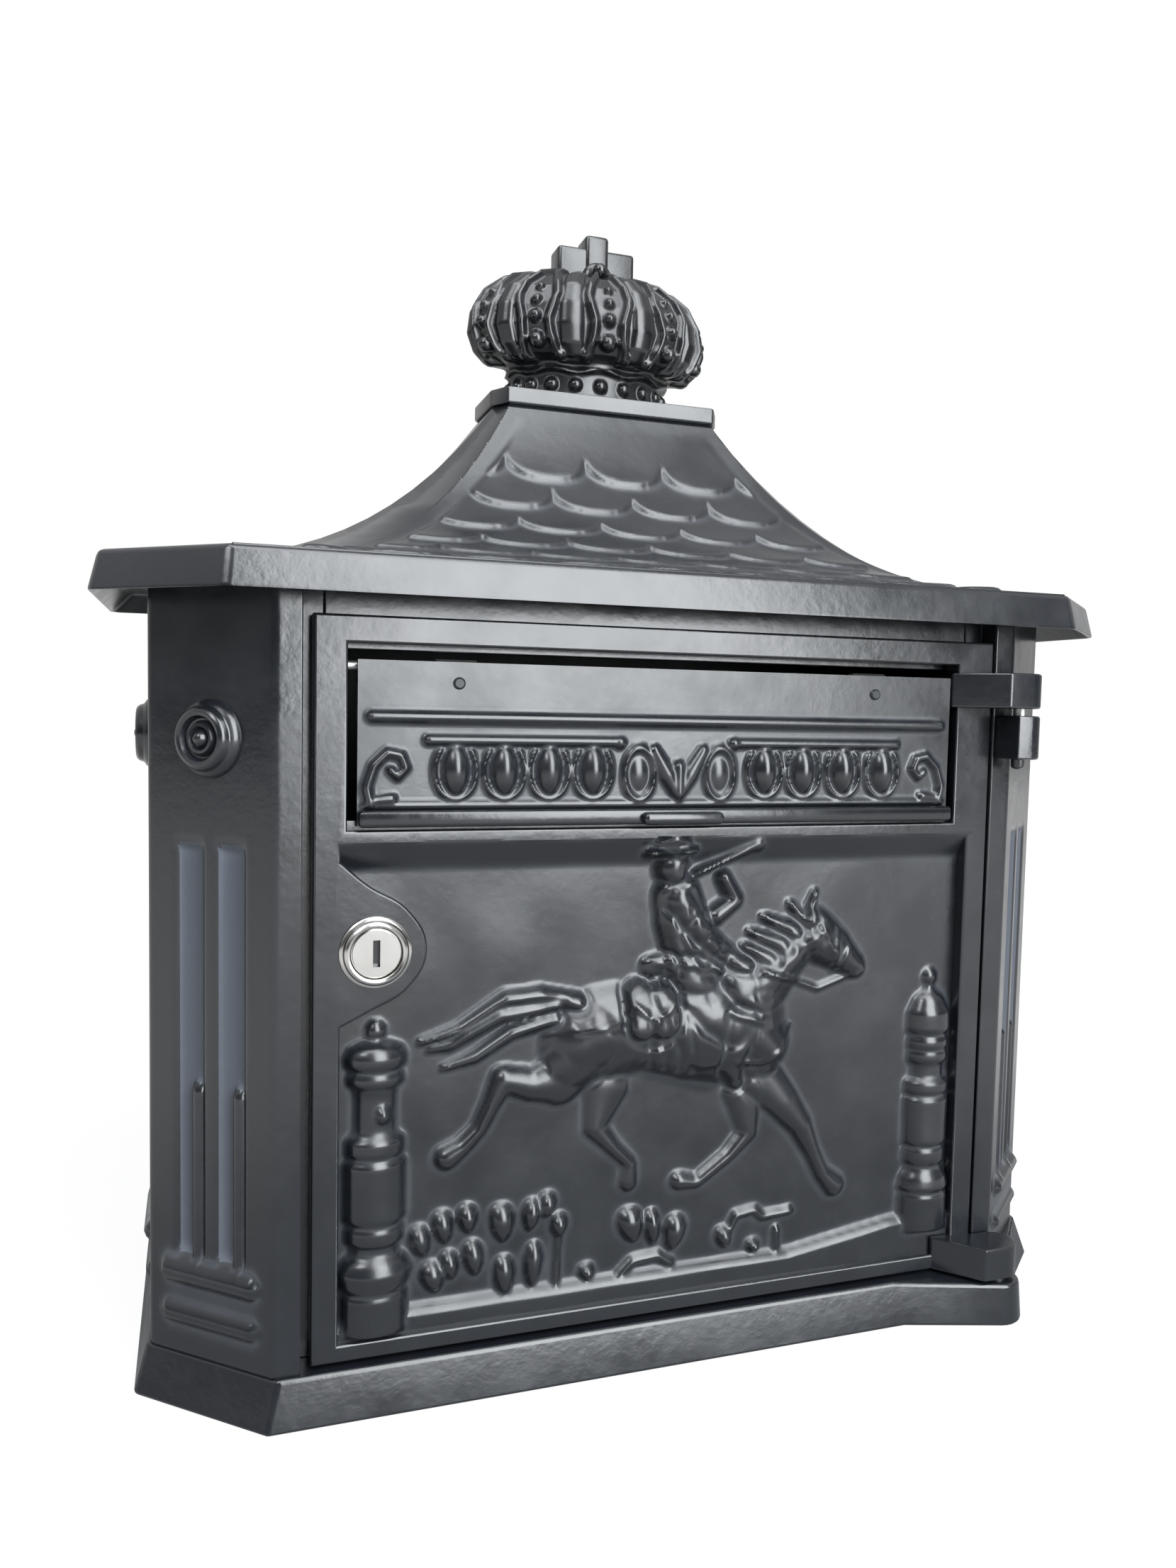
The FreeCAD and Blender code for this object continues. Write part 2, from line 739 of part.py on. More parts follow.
def rider():
    # rider with hat, coat and boot, and the horn held up to the right
    figure = [(-12, 169), (-14, 162), (-9, 156), (-12, 148), (-10, 136), (-4, 124), (5, 110), (12, 98),
              (17, 80), (24, 77), (21, 98), (29, 106), (25, 118), (27, 126), (17, 134), (11, 144), (8, 158),
              (4, 164), (3, 169)]
    bag = [(-21, 119), (-22, 104), (-13, 98), (-2, 103), (-1, 118), (-11, 122)]
    horn = [(6, 156), (30, 166), (28, 170), (6, 159)]
    arm = [(10, 139), (25, 148), (21, 159), (17, 158), (19, 150), (8, 145)]
    return [smooth_relief(figure, rider_height), smooth_relief(bag, bag_height),
            plain_relief(arm, horn_height), plain_relief(horn, horn_height)]


def lock_island():
    # the frame swells to the right round the lock, with hollow blends above and below
    reach = lock_x + lock_boss_radius
    blend = lock_boss_radius + lock_boss_blend
    curve = Part.BSplineCurve()
    step = panel_left + lock_boss_step
    shoulder = reach - lock_boss_round
    curve.interpolate([V(panel_left - 1, 0, lock_z + blend), V(step, 0, lock_z + blend * 0.72),
                       V(shoulder, 0, lock_z + lock_boss_radius * 0.6), V(reach, 0, lock_z),
                       V(shoulder, 0, lock_z - lock_boss_radius * 0.6), V(step, 0, lock_z - blend * 0.66),
                       V(panel_left - 1, 0, lock_z - blend * 0.8)])
    edge = curve.toShape()
    ends = [vertex.Point for vertex in edge.Vertexes]
    back_top = V(panel_left - 2, 0, ends[0].z)
    back_low = V(panel_left - 2, 0, ends[-1].z)
    wire = Part.Wire([edge, Part.makeLine(ends[-1], back_low), Part.makeLine(back_low, back_top),
                      Part.makeLine(back_top, ends[0])])
    return Part.Face(wire).extrude(V(0, door_thickness, 0))


def door_slab():
    slab = box(door_left, door_right, 0, door_thickness, door_bottom, door_top)
    outer_edges = [edge for edge in slab.Edges if all(abs(v.Y) < 0.001 for v in edge.Vertexes)]
    slab = slab.makeFillet(door_edge, outer_edges)
    floor_top = panel_top - panel_slope
    recess = side_prism([(-1, panel_top), (0, panel_top), (panel_depth, floor_top),
                         (panel_depth, panel_bottom), (-1, panel_bottom)], panel_left, panel_right)
    slot = box(slot_left, slot_right, -1, door_thickness + 1, slot_bottom + slot_lip, slot_top)
    flap_seat = box(slot_left, slot_right, -1, flap_back + slot_lip_gap, slot_bottom, slot_top)
    return slab.cut([recess.cut(lock_island()), slot, flap_seat])


def door_casting():
    left, right = panel_left - relief_root, panel_right + relief_root
    root = panel_depth + relief_root
    foot = panel_bottom - relief_root
    crest = panel_depth - ground_proud
    ground = side_prism([(root, foot), (root, panel_bottom + ground_height),
                         (panel_depth, panel_bottom + ground_height), (crest, panel_bottom + ground_step),
                         (crest, foot)], left, right)
    posts = [post(panel_left + post_left_inset, panel_bottom + post_left_foot, post_left_height),
             post(panel_right - post_right_inset, panel_bottom + post_right_foot, post_right_height)]
    panel_space = box(left, right, -2, root, foot, panel_top)
    posts = [shape.common(panel_space) for shape in posts]
    lugs = [lug_arm(upper_lug_bottom, upper_lug_height, upper_arm_root),
            lug_arm(door_bottom, lower_lug_height, lower_arm_root)]
    solid = joined([door_slab(), ground] + posts + horse() + rider() + lugs)
    bores = [cylinder(pin_radius + pin_clearance, (hinge_x, hinge_y, level - 1), (0, 0, 1), pin_depth)
             for level in (door_bottom, upper_lug_bottom)]
    lock_hole = cylinder(lock_body_radius + lock_hole_clearance, (lock_x, -1, lock_z), (0, 1, 0),
                         door_thickness + 2)
    rod_end = (slot_left - flap_rod_seat, flap_rod_depth, rod_z)
    rod_hole = cylinder(flap_rod_radius + pin_seat_clearance, rod_end, (1, 0, 0),
                        slot_right - slot_left + 2 * flap_rod_seat)
    return solid.cut(bores + [lock_hole, rod_hole])


# Letter flap

def oval_boss(x, z, half_width, half_height, height):
    long_half, short_half = max(half_width, half_height), min(half_width, half_height)
    base = Part.Ellipse(V(0, 0, 0), long_half, short_half)
    top = Part.Ellipse(V(0, 0, 0), long_half * 0.6, short_half * 0.55)
    rings = []
    for curve, level in ((base, -relief_root), (top, height)):
        wire = Part.Wire(curve.toShape())
        wire.rotate(V(0, 0, 0), V(0, 0, 1), 90 if half_height > half_width else 0)
        wire.rotate(V(0, 0, 0), V(1, 0, 0), 90)
        wire.translate(V(x, flap_setback - level, z))
        rings.append(wire)
    return Part.makeLoft(rings, True, True)


def bar(x0, x1, z):
    return cylinder(bar_radius, (x0, flap_setback, z), (1, 0, 0), x1 - x0)


def scroll(x, z, side):
    # C-shaped scroll at the end of the egg band
    back = flap_setback + 1
    ring = cylinder(scroll_radius, (x, flap_setback + relief_root, z), (0, -1, 0),
                    scroll_proud + relief_root)
    eye = cylinder(scroll_radius - scroll_width, (x, back, z), (0, -1, 0), scroll_proud + 2)
    reach = scroll_radius * 1.2
    sides = sorted((x, x + side * reach))
    mouth = box(sides[0], sides[1], back - scroll_proud - 2, back, z - reach, z - 1)
    return ring.cut([eye, mouth])


def letter_flap():
    plate = box(flap_left, flap_right, flap_setback, flap_back, flap_bottom, flap_top)
    egg_z = flap_top - egg_band_below_top
    upper_bar_z = flap_top - upper_bar_below_top
    pieces = [plate, bar(slot_middle - upper_bar_half, slot_middle + upper_bar_half, upper_bar_z)]
    for side in (-1, 1):
        ends = sorted((slot_middle + side * short_bar_inner, slot_middle + side * short_bar_outer))
        pieces.append(bar(ends[0], ends[1], flap_top - short_bar_below_top))
        for index in range(egg_count):
            x = slot_middle + side * (egg_first + index * egg_pitch)
            pieces.append(oval_boss(x, egg_z, egg_half_width, egg_half_height, egg_height))
        oval_x = slot_middle + side * oval_offset
        pieces.append(oval_boss(oval_x, egg_z, oval_half_width, egg_half_height, oval_height))
        pieces.append(scroll(slot_middle + side * scroll_offset, egg_z + 1, side))
    root = flap_setback + relief_root
    leaf = [(slot_middle - leaf_half, egg_z + leaf_height), (slot_middle, egg_z - leaf_height),
            (slot_middle + leaf_half, egg_z + leaf_height), (slot_middle, egg_z + leaf_notch)]
    pieces.append(front_face(leaf, root).extrude(V(0, -leaf_proud - relief_root, 0)))
    foot_front = flap_setback - foot_bar_proud
    pieces.append(side_prism([(root, flap_bottom), (foot_front, flap_bottom),
                              (foot_front, flap_bottom + foot_bar_height - 1.5),
                              (root, flap_bottom + foot_bar_height)], flap_left, flap_right))
    pieces.append(side_prism([(flap_setback, flap_bottom), (flap_setback - lip_reach, flap_bottom),
                              (flap_setback - lip_reach, flap_bottom + lip_height - 2),
                              (flap_setback, flap_bottom + lip_height)],
                             slot_middle - lip_half, slot_middle + lip_half))
    rivet_z = rod_z - rivet_below_rod
    holes = [cylinder(rivet_radius + pin_seat_clearance, (slot_middle + side * rivet_half, -1, rivet_z),
                      (0, 1, 0), flap_back + 2) for side in (-1, 1)]
    return joined(pieces).cut(holes)


def flap_strap(x):
    # strap riveted behind the flap, rolled round the rod at its top
    knuckle_radius = flap_rod_radius + pin_clearance + strap_thickness
    half = strap_width / 2
    knuckle = cylinder(knuckle_radius, (x - half, flap_rod_depth, rod_z), (1, 0, 0), strap_width)
    leaf = box(x - half, x + half, flap_back, flap_back + strap_thickness, rod_z - strap_length, rod_z)
    rod_space = cylinder(flap_rod_radius + pin_clearance, (x - half - 1, flap_rod_depth, rod_z), (1, 0, 0),
                         strap_width + 2)
    rivet_hole = cylinder(rivet_radius + pin_seat_clearance, (x, 0, rod_z - rivet_below_rod), (0, 1, 0),
                          flap_rod_depth + knuckle_radius + 1)
    return joined([knuckle, leaf]).cut([rod_space, rivet_hole])


def flap_rivet(x):
    z = rod_z - rivet_below_rod
    length = flap_thickness + strap_thickness
    end = length + rivet_head
    profile = [(0, -rivet_head), (rivet_head_radius * 0.7, -rivet_head),
               (rivet_head_radius, -rivet_head * 0.4), (rivet_head_radius, 0), (rivet_radius, 0),
               (rivet_radius, length), (rivet_head_radius, length), (rivet_head_radius, end), (0, end)]
    return turned(profile, (x, flap_setback, z), (0, 1, 0))


def flap_rod():
    slack = pin_seat_clearance * 2
    return cylinder(flap_rod_radius, (slot_left - flap_rod_seat + slack, flap_rod_depth, rod_z), (1, 0, 0),
                    slot_right - slot_left + 2 * flap_rod_seat - 2 * slack)


# Hinge pins

def upper_hinge_pin():
    return cylinder(pin_radius, (hinge_x, hinge_y, body_lug_bottom), (0, 0, 1),
                    upper_lug_bottom + pin_depth - 2 - body_lug_bottom)


def lower_hinge_pin():
    low = plinth_height - pin_depth
    shoulder_top = door_bottom - pin_shoulder_gap
    length = door_bottom + pin_depth - 2 - low
    return joined([cylinder(pin_radius, (hinge_x, hinge_y, low), (0, 0, 1), length),
                   cylinder(pin_shoulder_radius, (hinge_x, hinge_y, plinth_height), (0, 0, 1),
                            shoulder_top - plinth_height)])


# Lock

def lock_housing():
    profile = [(plug_radius + plug_clearance, -bezel_height), (bezel_radius - bezel_chamfer, -bezel_height),
               (bezel_radius, -bezel_height + bezel_chamfer), (bezel_radius, 0), (lock_body_radius, 0),
               (lock_body_radius, lock_length), (plug_radius + plug_clearance, lock_length)]
    return turned(profile, (lock_x, 0, lock_z), (0, 1, 0))


def lock_plug():
    front = -bezel_height + plug_recess
    body = cylinder(plug_radius, (lock_x, front, lock_z), (0, 1, 0), cam_front - front)
    square = cam_square / 2 - pin_seat_clearance
    tail = box(lock_x - square, lock_x + square, cam_front, cam_back, lock_z - square, lock_z + square)
    keyway = box(lock_x - keyway_width / 2, lock_x + keyway_width / 2, front - 1, front + keyway_depth,
                 lock_z - keyway_height / 2, lock_z + keyway_height / 2)
    hole = cylinder(cam_screw_radius + screw_clearance, (lock_x, cam_back + 1, lock_z), (0, -1, 0),
                    cam_screw_length + 1)
    return joined([body, tail]).cut([keyway, hole])


def lock_nut():
    radius = nut_flats / math.sqrt(3)
    turns = [math.radians(60 * corner) for corner in range(6)]
    corners = [(lock_x + radius * math.cos(turn), lock_z + radius * math.sin(turn)) for turn in turns]
    body = front_face(corners, door_thickness).extrude(V(0, nut_height, 0))
    return body.cut(cylinder(lock_body_radius + pin_seat_clearance, (lock_x, 0, lock_z), (0, 1, 0),
                             lock_length + 1))


def lock_cam():
    half = cam_width / 2
    plate = box(lock_x - half, lock_x + half, cam_front, cam_back, lock_z - cam_length, lock_z)
    eye = cylinder(half, (lock_x, cam_front, lock_z), (0, 1, 0), cam_thickness)
    square = cam_square / 2
    hole = box(lock_x - square, lock_x + square, cam_front - 1, cam_back + 1, lock_z - square,
               lock_z + square)
    return joined([plate, eye]).cut(hole)


def screw(place, direction, radius, length, head_radius, head):
    # pan-head screw: the head stands behind the place, the shank runs along the direction
    profile = [(0, -head), (head_radius * 0.75, -head), (head_radius, -head * 0.5), (head_radius, 0),
               (radius, 0), (radius, length), (0, length)]
    return turned(profile, place, direction)


def cam_screw():
    return screw((lock_x, cam_back, lock_z), (0, -1, 0), cam_screw_radius, cam_screw_length - 1,
                 cam_screw_head_radius, cam_screw_head)


# Back plate and screws

def back_plate():
    front, back = wall_depth - back_sheet, wall_depth
    plate = box(-side_half, side_half, front, back, plinth_height, eave_bottom)
    holes = [cylinder(wall_hole_radius, (side * wall_hole_half, front - 1, z), (0, 1, 0), back_sheet + 2)
             for side in (-1, 1) for z in (wall_hole_low, wall_hole_high)]
    holes += [cylinder(screw_hole_radius, (side * x, front - 1, z), (0, 1, 0), back_sheet + 2)
              for side in (-1, 1) for x, z in back_flange_holes()]
    return plate.cut(holes)


def roof_screws():
    seat = roof_soffit() - boss_height - tab_thickness
    length = tab_thickness + boss_height - 3
    return [screw((x, y, seat), (0, 0, 1), screw_radius, length, screw_head_radius, screw_head)
            for x, y in corner_boss_places()]


def base_screws():
    seat = plinth_height - floor_thickness
    length = floor_thickness + boss_height - 2
    return [screw((x, y, seat), (0, 0, 1), screw_radius, length, screw_head_radius, screw_head)
            for x, y in corner_boss_places()]


def back_screws():
    # screwed from the inside, so that the plate stays flat against the wall
    seat = wall_depth - back_sheet - casting_wall
    length = casting_wall + back_sheet
    return [screw((side * x, seat, z), (0, 1, 0), screw_radius, length, screw_head_radius, screw_head)
            for side in (-1, 1) for x, z in back_flange_holes()]


def crown_screw():
    seat = roof_top - roof_wall
    return screw((0, crown_screw_y(), seat), (0, 0, 1), crown_screw_radius - 2 * screw_clearance,
                 roof_wall + collar_height + crown_screw_grip, crown_screw_head_radius, crown_screw_head)


def build():
    right = side_casting(True)
    left = mirrored(side_casting(False))
    strap_x = (slot_middle - rivet_half, slot_middle + rivet_half)
    return {
        "roof_casting": roof_casting(),
        "crown_finial": crown_finial(),
        "crown_screw": crown_screw(),
        "side_casting_left": left,
        "side_casting_right": right,
        "base_casting": base_casting(),
        "back_plate": back_plate(),
        "roof_screws": Part.makeCompound(roof_screws()),
        "base_screws": Part.makeCompound(base_screws()),
        "back_screws": Part.makeCompound(back_screws()),
        "door_casting": door_casting(),
        "letter_flap": letter_flap(),
        "flap_rivets": Part.makeCompound([flap_rivet(x) for x in strap_x]),
        "flap_strap_left": flap_strap(strap_x[0]),
        "flap_strap_right": flap_strap(strap_x[1]),
        "flap_rod": flap_rod(),
        "upper_hinge_pin": upper_hinge_pin(),
        "lower_hinge_pin": lower_hinge_pin(),
        "lock_housing": lock_housing(),
        "lock_plug": lock_plug(),
        "lock_nut": lock_nut(),
        "lock_cam": lock_cam(),
        "cam_screw": cam_screw(),
    }


def main():
    os.makedirs("parts", exist_ok=True)
    for name, shape in build().items():
        shape.translate(V(0, depth_shift, 0))
        shape.exportStep("parts/" + name + ".step")
        size = shape.BoundBox
        limits = (size.XMin, size.XMax, size.YMin, size.YMax, size.ZMin, size.ZMax)
        print(name, len(shape.Solids), "solids, valid", shape.isValid(), "volume", round(shape.Volume),
              "box", [round(limit, 1) for limit in limits])
    print("hinge axis", round(hinge_x, 3), round(hinge_y + depth_shift, 3))
    print("rod", round(flap_rod_depth + depth_shift, 3), round(rod_z, 3), "shift", round(depth_shift, 3))


main()
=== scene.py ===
# %% [markdown]
# # A cast letter box with a tiled roof
# This lesson dresses a imported CAD model of a wall letter box. The CAD model says where everything is
# and how it moves. Blender adds what a foundry pattern adds: soft cast edges, relief, tiles, a crown
# and a black paint. The frame is loaded first.

# %% Load the frame
import bpy
import bmesh
import json
import math
import numpy as np
from mathutils import Matrix, Vector


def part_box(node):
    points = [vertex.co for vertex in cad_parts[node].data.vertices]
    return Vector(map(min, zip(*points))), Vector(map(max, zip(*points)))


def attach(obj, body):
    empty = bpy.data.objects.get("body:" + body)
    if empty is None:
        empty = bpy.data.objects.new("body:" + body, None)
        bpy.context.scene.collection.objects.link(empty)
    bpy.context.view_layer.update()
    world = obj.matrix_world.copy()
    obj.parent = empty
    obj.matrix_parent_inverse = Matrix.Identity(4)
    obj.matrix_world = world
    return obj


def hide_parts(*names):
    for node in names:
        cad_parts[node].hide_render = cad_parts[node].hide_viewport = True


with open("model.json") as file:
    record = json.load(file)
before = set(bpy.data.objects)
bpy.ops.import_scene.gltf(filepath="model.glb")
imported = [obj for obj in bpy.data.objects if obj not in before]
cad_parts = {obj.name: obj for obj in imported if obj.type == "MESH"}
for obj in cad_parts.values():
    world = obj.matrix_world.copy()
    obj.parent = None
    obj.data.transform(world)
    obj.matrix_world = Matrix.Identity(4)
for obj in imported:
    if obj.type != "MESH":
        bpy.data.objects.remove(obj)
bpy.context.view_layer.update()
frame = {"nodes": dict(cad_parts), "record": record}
door_low, door_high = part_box("door_casting")
door_thickness = 0.009
front_plane = door_high.y - door_thickness
print("nodes", len(frame["nodes"]), "front plane at", round(front_plane, 4))

# %% [markdown]
# Sizes are easier to read in millimetres, counted from the front plane of the door. One helper turns
# such a place into metres in the frame, so every later cell can speak in millimetres.

# %% Places in millimetres
def at(x, y, z):
    return Vector((x / 1000, front_plane + y / 1000, z / 1000))


print("lock at", [round(c, 4) for c in at(-109.4, 0, 158.6)])

# %% [markdown]
# The camera stands where the photographer stood: a little to the left, close, and looking slightly
# down. It could be aimed with a constraint, but three turn angles keep it exact and leave nothing live
# behind. The film is taken to be 1659 by 2212, so the lens is fitted to the height of the picture.

# %% Camera
yaw = 0.3242
pitch = 0.0649
roll = 0.0206
stand = (-0.16389, -0.43300, 0.24104)
lens_pixels = 1618.08
picture_pixels = 2212
film_height = 36
turn = Matrix.Rotation(roll, 3, "Y") @ Matrix.Rotation(pitch, 3, "X") @ Matrix.Rotation(yaw, 3, "Z")
camera_data = bpy.data.cameras.new("view_camera")
camera_data.sensor_fit = "VERTICAL"
camera_data.sensor_height = film_height
camera_data.lens = film_height * lens_pixels / picture_pixels
camera = bpy.data.objects.new("view_camera", camera_data)
right, ahead, upward = turn[0], turn[1], turn[2]
aimed = Matrix((right, upward, -ahead)).transposed().to_4x4()
camera.matrix_world = Matrix.Translation(stand) @ aimed
bpy.context.scene.collection.objects.link(camera)
bpy.context.scene.camera = camera
print("lens", round(camera_data.lens, 2))

# %% [markdown]
# The box stands on a plain pale floor in a white room. To the camera the floor and the world are white.
# Mirrored rays see them too, but weaker: black gloss paint takes its tone from what it mirrors, and a
# full white room would turn it pale. Close to the box more of the floor stays an ordinary matt surface,
# so that it keeps the shadow. For mirrored rays the glow also fades out towards the box, which is a
# painted shade round the box in what the paint mirrors. Each fade below gives where it starts and
# ends, and the share at either end.

# %% Floor
floor_tone = 0.3
floor_glow = 1.25
shown_fade = (0.3, 0.8, 0.75, 1.0)
# near the box mirrored rays see the glow fade out: a painted shade round the box
mirrored_shade_fade = (0.2, 0.55, 0.05, 0.67)


def filled(node, values):
    for name, value in values.items():
        node.inputs[name].default_value = value
    return node


def new_node(tree, kind, **values):
    return filled(tree.nodes.new("ShaderNode" + kind), values)


def joined_maths(tree, kind, *values):
    node = new_node(tree, "Math")
    node.operation = kind
    for slot, value in enumerate(values):
        if isinstance(value, (int, float)):
            node.inputs[slot].default_value = value
        else:
            tree.links.new(value, node.inputs[slot])
    return node.outputs[0]


def eased_range(tree, value, low, high, to_low, to_high, way="SMOOTHSTEP"):
    limits = {"From Min": low, "From Max": high, "To Min": to_low, "To Max": to_high}
    node = new_node(tree, "MapRange", **limits)
    node.interpolation_type = way
    tree.links.new(value, node.inputs["Value"])
    return node.outputs[0]


def ray_kinds(tree):
    path = new_node(tree, "LightPath")
    glossy, through = path.outputs["Is Glossy Ray"], path.outputs["Is Transmission Ray"]
    return path.outputs["Is Camera Ray"], joined_maths(tree, "MAXIMUM", glossy, through)


def mixed_surface(tree, share, first, second, ending):
    mix = new_node(tree, "MixShader")
    out = new_node(tree, ending)
    tree.links.new(share, mix.inputs[0])
    tree.links.new(first.outputs[0], mix.inputs[1])
    tree.links.new(second.outputs[0], mix.inputs[2])
    tree.links.new(mix.outputs[0], out.inputs["Surface"])


def white_floor():
    material = bpy.data.materials.new("white_floor")
    material.use_nodes = True
    tree = material.node_tree
    tree.nodes.clear()
    matt = new_node(tree, "BsdfDiffuse", Color=(floor_tone, floor_tone, floor_tone, 1))
    glow = new_node(tree, "Emission", Color=(1, 1, 1, 1), Strength=floor_glow)
    place = new_node(tree, "TexCoord")
    distance = new_node(tree, "VectorMath")
    distance.operation = "LENGTH"
    tree.links.new(place.outputs["Object"], distance.inputs[0])
    away = distance.outputs["Value"]
    seen, mirrored = ray_kinds(tree)
    shown = joined_maths(tree, "MULTIPLY", eased_range(tree, away, *shown_fade), seen)
    # painted shade: the mirrored glow fades out near the box
    mirrored = joined_maths(tree, "MULTIPLY", mirrored, eased_range(tree, away, *mirrored_shade_fade))
    mixed_surface(tree, joined_maths(tree, "MAXIMUM", shown, mirrored), matt, glow, "OutputMaterial")
    return material


floor_mesh = bmesh.new()
bmesh.ops.create_grid(floor_mesh, x_segments=1, y_segments=1, size=4)
floor_data = bpy.data.meshes.new("floor")
floor_mesh.to_mesh(floor_data)
floor_mesh.free()
floor = bpy.data.objects.new("floor", floor_data)
bpy.context.scene.collection.objects.link(floor)
floor_data.materials.append(white_floor())
print("stage", floor.name)

# %% [markdown]
# The world is the white room round the box. The camera sees it pure white, and ordinary rays see a
# plain weak level. Mirrored rays see a grey that grows towards the back and the top, so that a face
# that leans back mirrors more light. A picture of a studio could give that too, but a fade needs no
# file.

# %% World
room_level = 0.15
room_fade = (-0.3, 0.6, 0.05, 0.68)
world = bpy.data.worlds.new("white_room")
bpy.context.scene.world = world
world.use_nodes = True
room = world.node_tree
room.nodes.clear()
plain = new_node(room, "Background", Color=(0.86, 0.93, 1.0, 1), Strength=room_level)
white = new_node(room, "Background", Color=(1, 1, 1, 1))
direction = new_node(room, "TexCoord")
parts = new_node(room, "SeparateXYZ")
room.links.new(direction.outputs["Generated"], parts.inputs[0])
toward_back = joined_maths(room, "MULTIPLY_ADD", parts.outputs["Y"], 0.5, parts.outputs["Z"])
fade = eased_range(room, toward_back, *room_fade)
seen, mirrored = ray_kinds(room)
room.links.new(joined_maths(room, "MAXIMUM", fade, seen), white.inputs["Strength"])
mixed_surface(room, joined_maths(room, "MAXIMUM", seen, mirrored), plain, white, "OutputWorld")
print("world", world.name)

# %% [markdown]
# Black paint is mostly seen by what it mirrors. A tall soft lamp stands in front to the right, where
# the eave and the top of the door mirror it, and a smaller one stands above it for the sloping eave.
# One hangs high above the roof, and one shines from the upper left across the relief. Small lamps could
# be as bright, but only broad ones give the wide soft sheen of this paint.

# %% Lamps
def soft_lamp(name, place, aim, size, power):
    data = bpy.data.lights.new(name, "AREA")
    data.shape = "RECTANGLE"
    data.size, data.size_y = size
    data.energy = power
    data.color = (0.94, 0.975, 1.0)
    lamp = bpy.data.objects.new(name, data)
    lamp.location = place
    lamp.rotation_euler = (Vector(aim) - Vector(place)).to_track_quat("-Z", "Y").to_euler()
    bpy.context.scene.collection.objects.link(lamp)
    return lamp


lamps = [
    soft_lamp("lamp_front", (0.56, -1.95, 0.9), (0, 0, 0.3), (1.2, 1.84), 65),
    soft_lamp("lamp_upper", (0.42, -1.3, 1.95), (0, 0, 0.3), (1.2, 0.8), 21),
    soft_lamp("lamp_high", (-0.2, -0.5, 2.2), (0, 0, 0.3), (1.5, 1.0), 22),
    soft_lamp("lamp_left", (-1.2, -1.1, 1.7), (0, 0, 0.25), (0.7, 0.7), 14),
]
print("lamps", [lamp.name for lamp in lamps])

# %% [markdown]
# All castings share one finish: black paint over cast aluminium. It is never one flat tone. The paint
# lies thin in random patches, its hollows are painted a lighter grey, partly dust and partly a painted
# sheen where concave edges catch the light, and the sand of the mould leaves a fine orange peel under
# it. That is put once in a node group, which every paint places with its own values. The hollows come
# from an attribute that the relief pieces carry; where a piece has none, it reads as zero. A picture
# could be painted on instead, but noise in Object coordinates needs no unwrapping.

# %% Node group of the cast skin
def socket(group, name, way, kind, value=None):
    made = group.interface.new_socket(name=name, in_out=way, socket_type=kind)
    if value is not None:
        made.default_value = value
    return made


def cast_skin_group():
    group = bpy.data.node_groups.new("cast_skin", "ShaderNodeTree")
    socket(group, "Tone", "INPUT", "NodeSocketColor", (0.02, 0.022, 0.026, 1))
    socket(group, "Dust And Sheen", "INPUT", "NodeSocketColor", (0.1, 0.11, 0.125, 1))
    socket(group, "Dust And Sheen Amount", "INPUT", "NodeSocketFloat", 0.5)
    socket(group, "Peel", "INPUT", "NodeSocketFloat", 0.2)
    socket(group, "Gloss", "INPUT", "NodeSocketFloat", 0.36)
    socket(group, "Color", "OUTPUT", "NodeSocketColor")
    socket(group, "Roughness", "OUTPUT", "NodeSocketFloat")
    socket(group, "Normal", "OUTPUT", "NodeSocketVector")
    links = group.links
    given = group.nodes.new("NodeGroupInput")
    result = group.nodes.new("NodeGroupOutput")
    place = new_node(group, "TexCoord")

    def noise(scale, detail, rough):
        node = new_node(group, "TexNoise", Scale=scale, Detail=detail, Roughness=rough)
        links.new(place.outputs["Object"], node.inputs["Vector"])
        return node.outputs["Fac"]

    def maths(kind, *values):
        return joined_maths(group, kind, *values)

    def ranged(*values):
        return eased_range(group, *values, way="LINEAR")

    hollow = new_node(group, "Attribute")
    hollow.attribute_name = "hollow"
    cloud = noise(45, 4, 0.6)
    grain = noise(900, 2, 0.5)
    ripple = noise(240, 2, 0.5)
    # hollows painted a lighter grey: partly dust, partly a painted sheen on concave edges
    dust_and_sheen_mask = maths("MULTIPLY", hollow.outputs["Fac"], ranged(cloud, 0.3, 0.7, 0.55, 1.0))
    thin = ranged(cloud, 0.35, 0.75, 0.0, 0.1)
    mask = maths("MULTIPLY", maths("ADD", dust_and_sheen_mask, thin), given.outputs["Dust And Sheen Amount"])
    mix = new_node(group, "Mix")
    mix.data_type = "RGBA"
    mix.clamp_factor = True
    links.new(mask, mix.inputs["Factor"])
    links.new(given.outputs["Tone"], mix.inputs[6])
    links.new(given.outputs["Dust And Sheen"], mix.inputs[7])
    links.new(mix.outputs[2], result.inputs["Color"])
    spread = ranged(cloud, 0.25, 0.75, -0.06, 0.08)
    dull = maths("MULTIPLY", dust_and_sheen_mask, 0.15)
    uneven_gloss = maths("ADD", given.outputs["Gloss"], spread)
    links.new(maths("ADD", uneven_gloss, dull), result.inputs["Roughness"])
    height = maths("ADD", maths("MULTIPLY", grain, 0.25), ripple)
    bump = new_node(group, "Bump", Distance=0.0005)
    links.new(given.outputs["Peel"], bump.inputs["Strength"])
    links.new(height, bump.inputs["Height"])
    links.new(bump.outputs["Normal"], result.inputs["Normal"])
    return group


cast_skin = cast_skin_group()
print("group", cast_skin.name, [item.name for item in cast_skin.interface.items_tree])
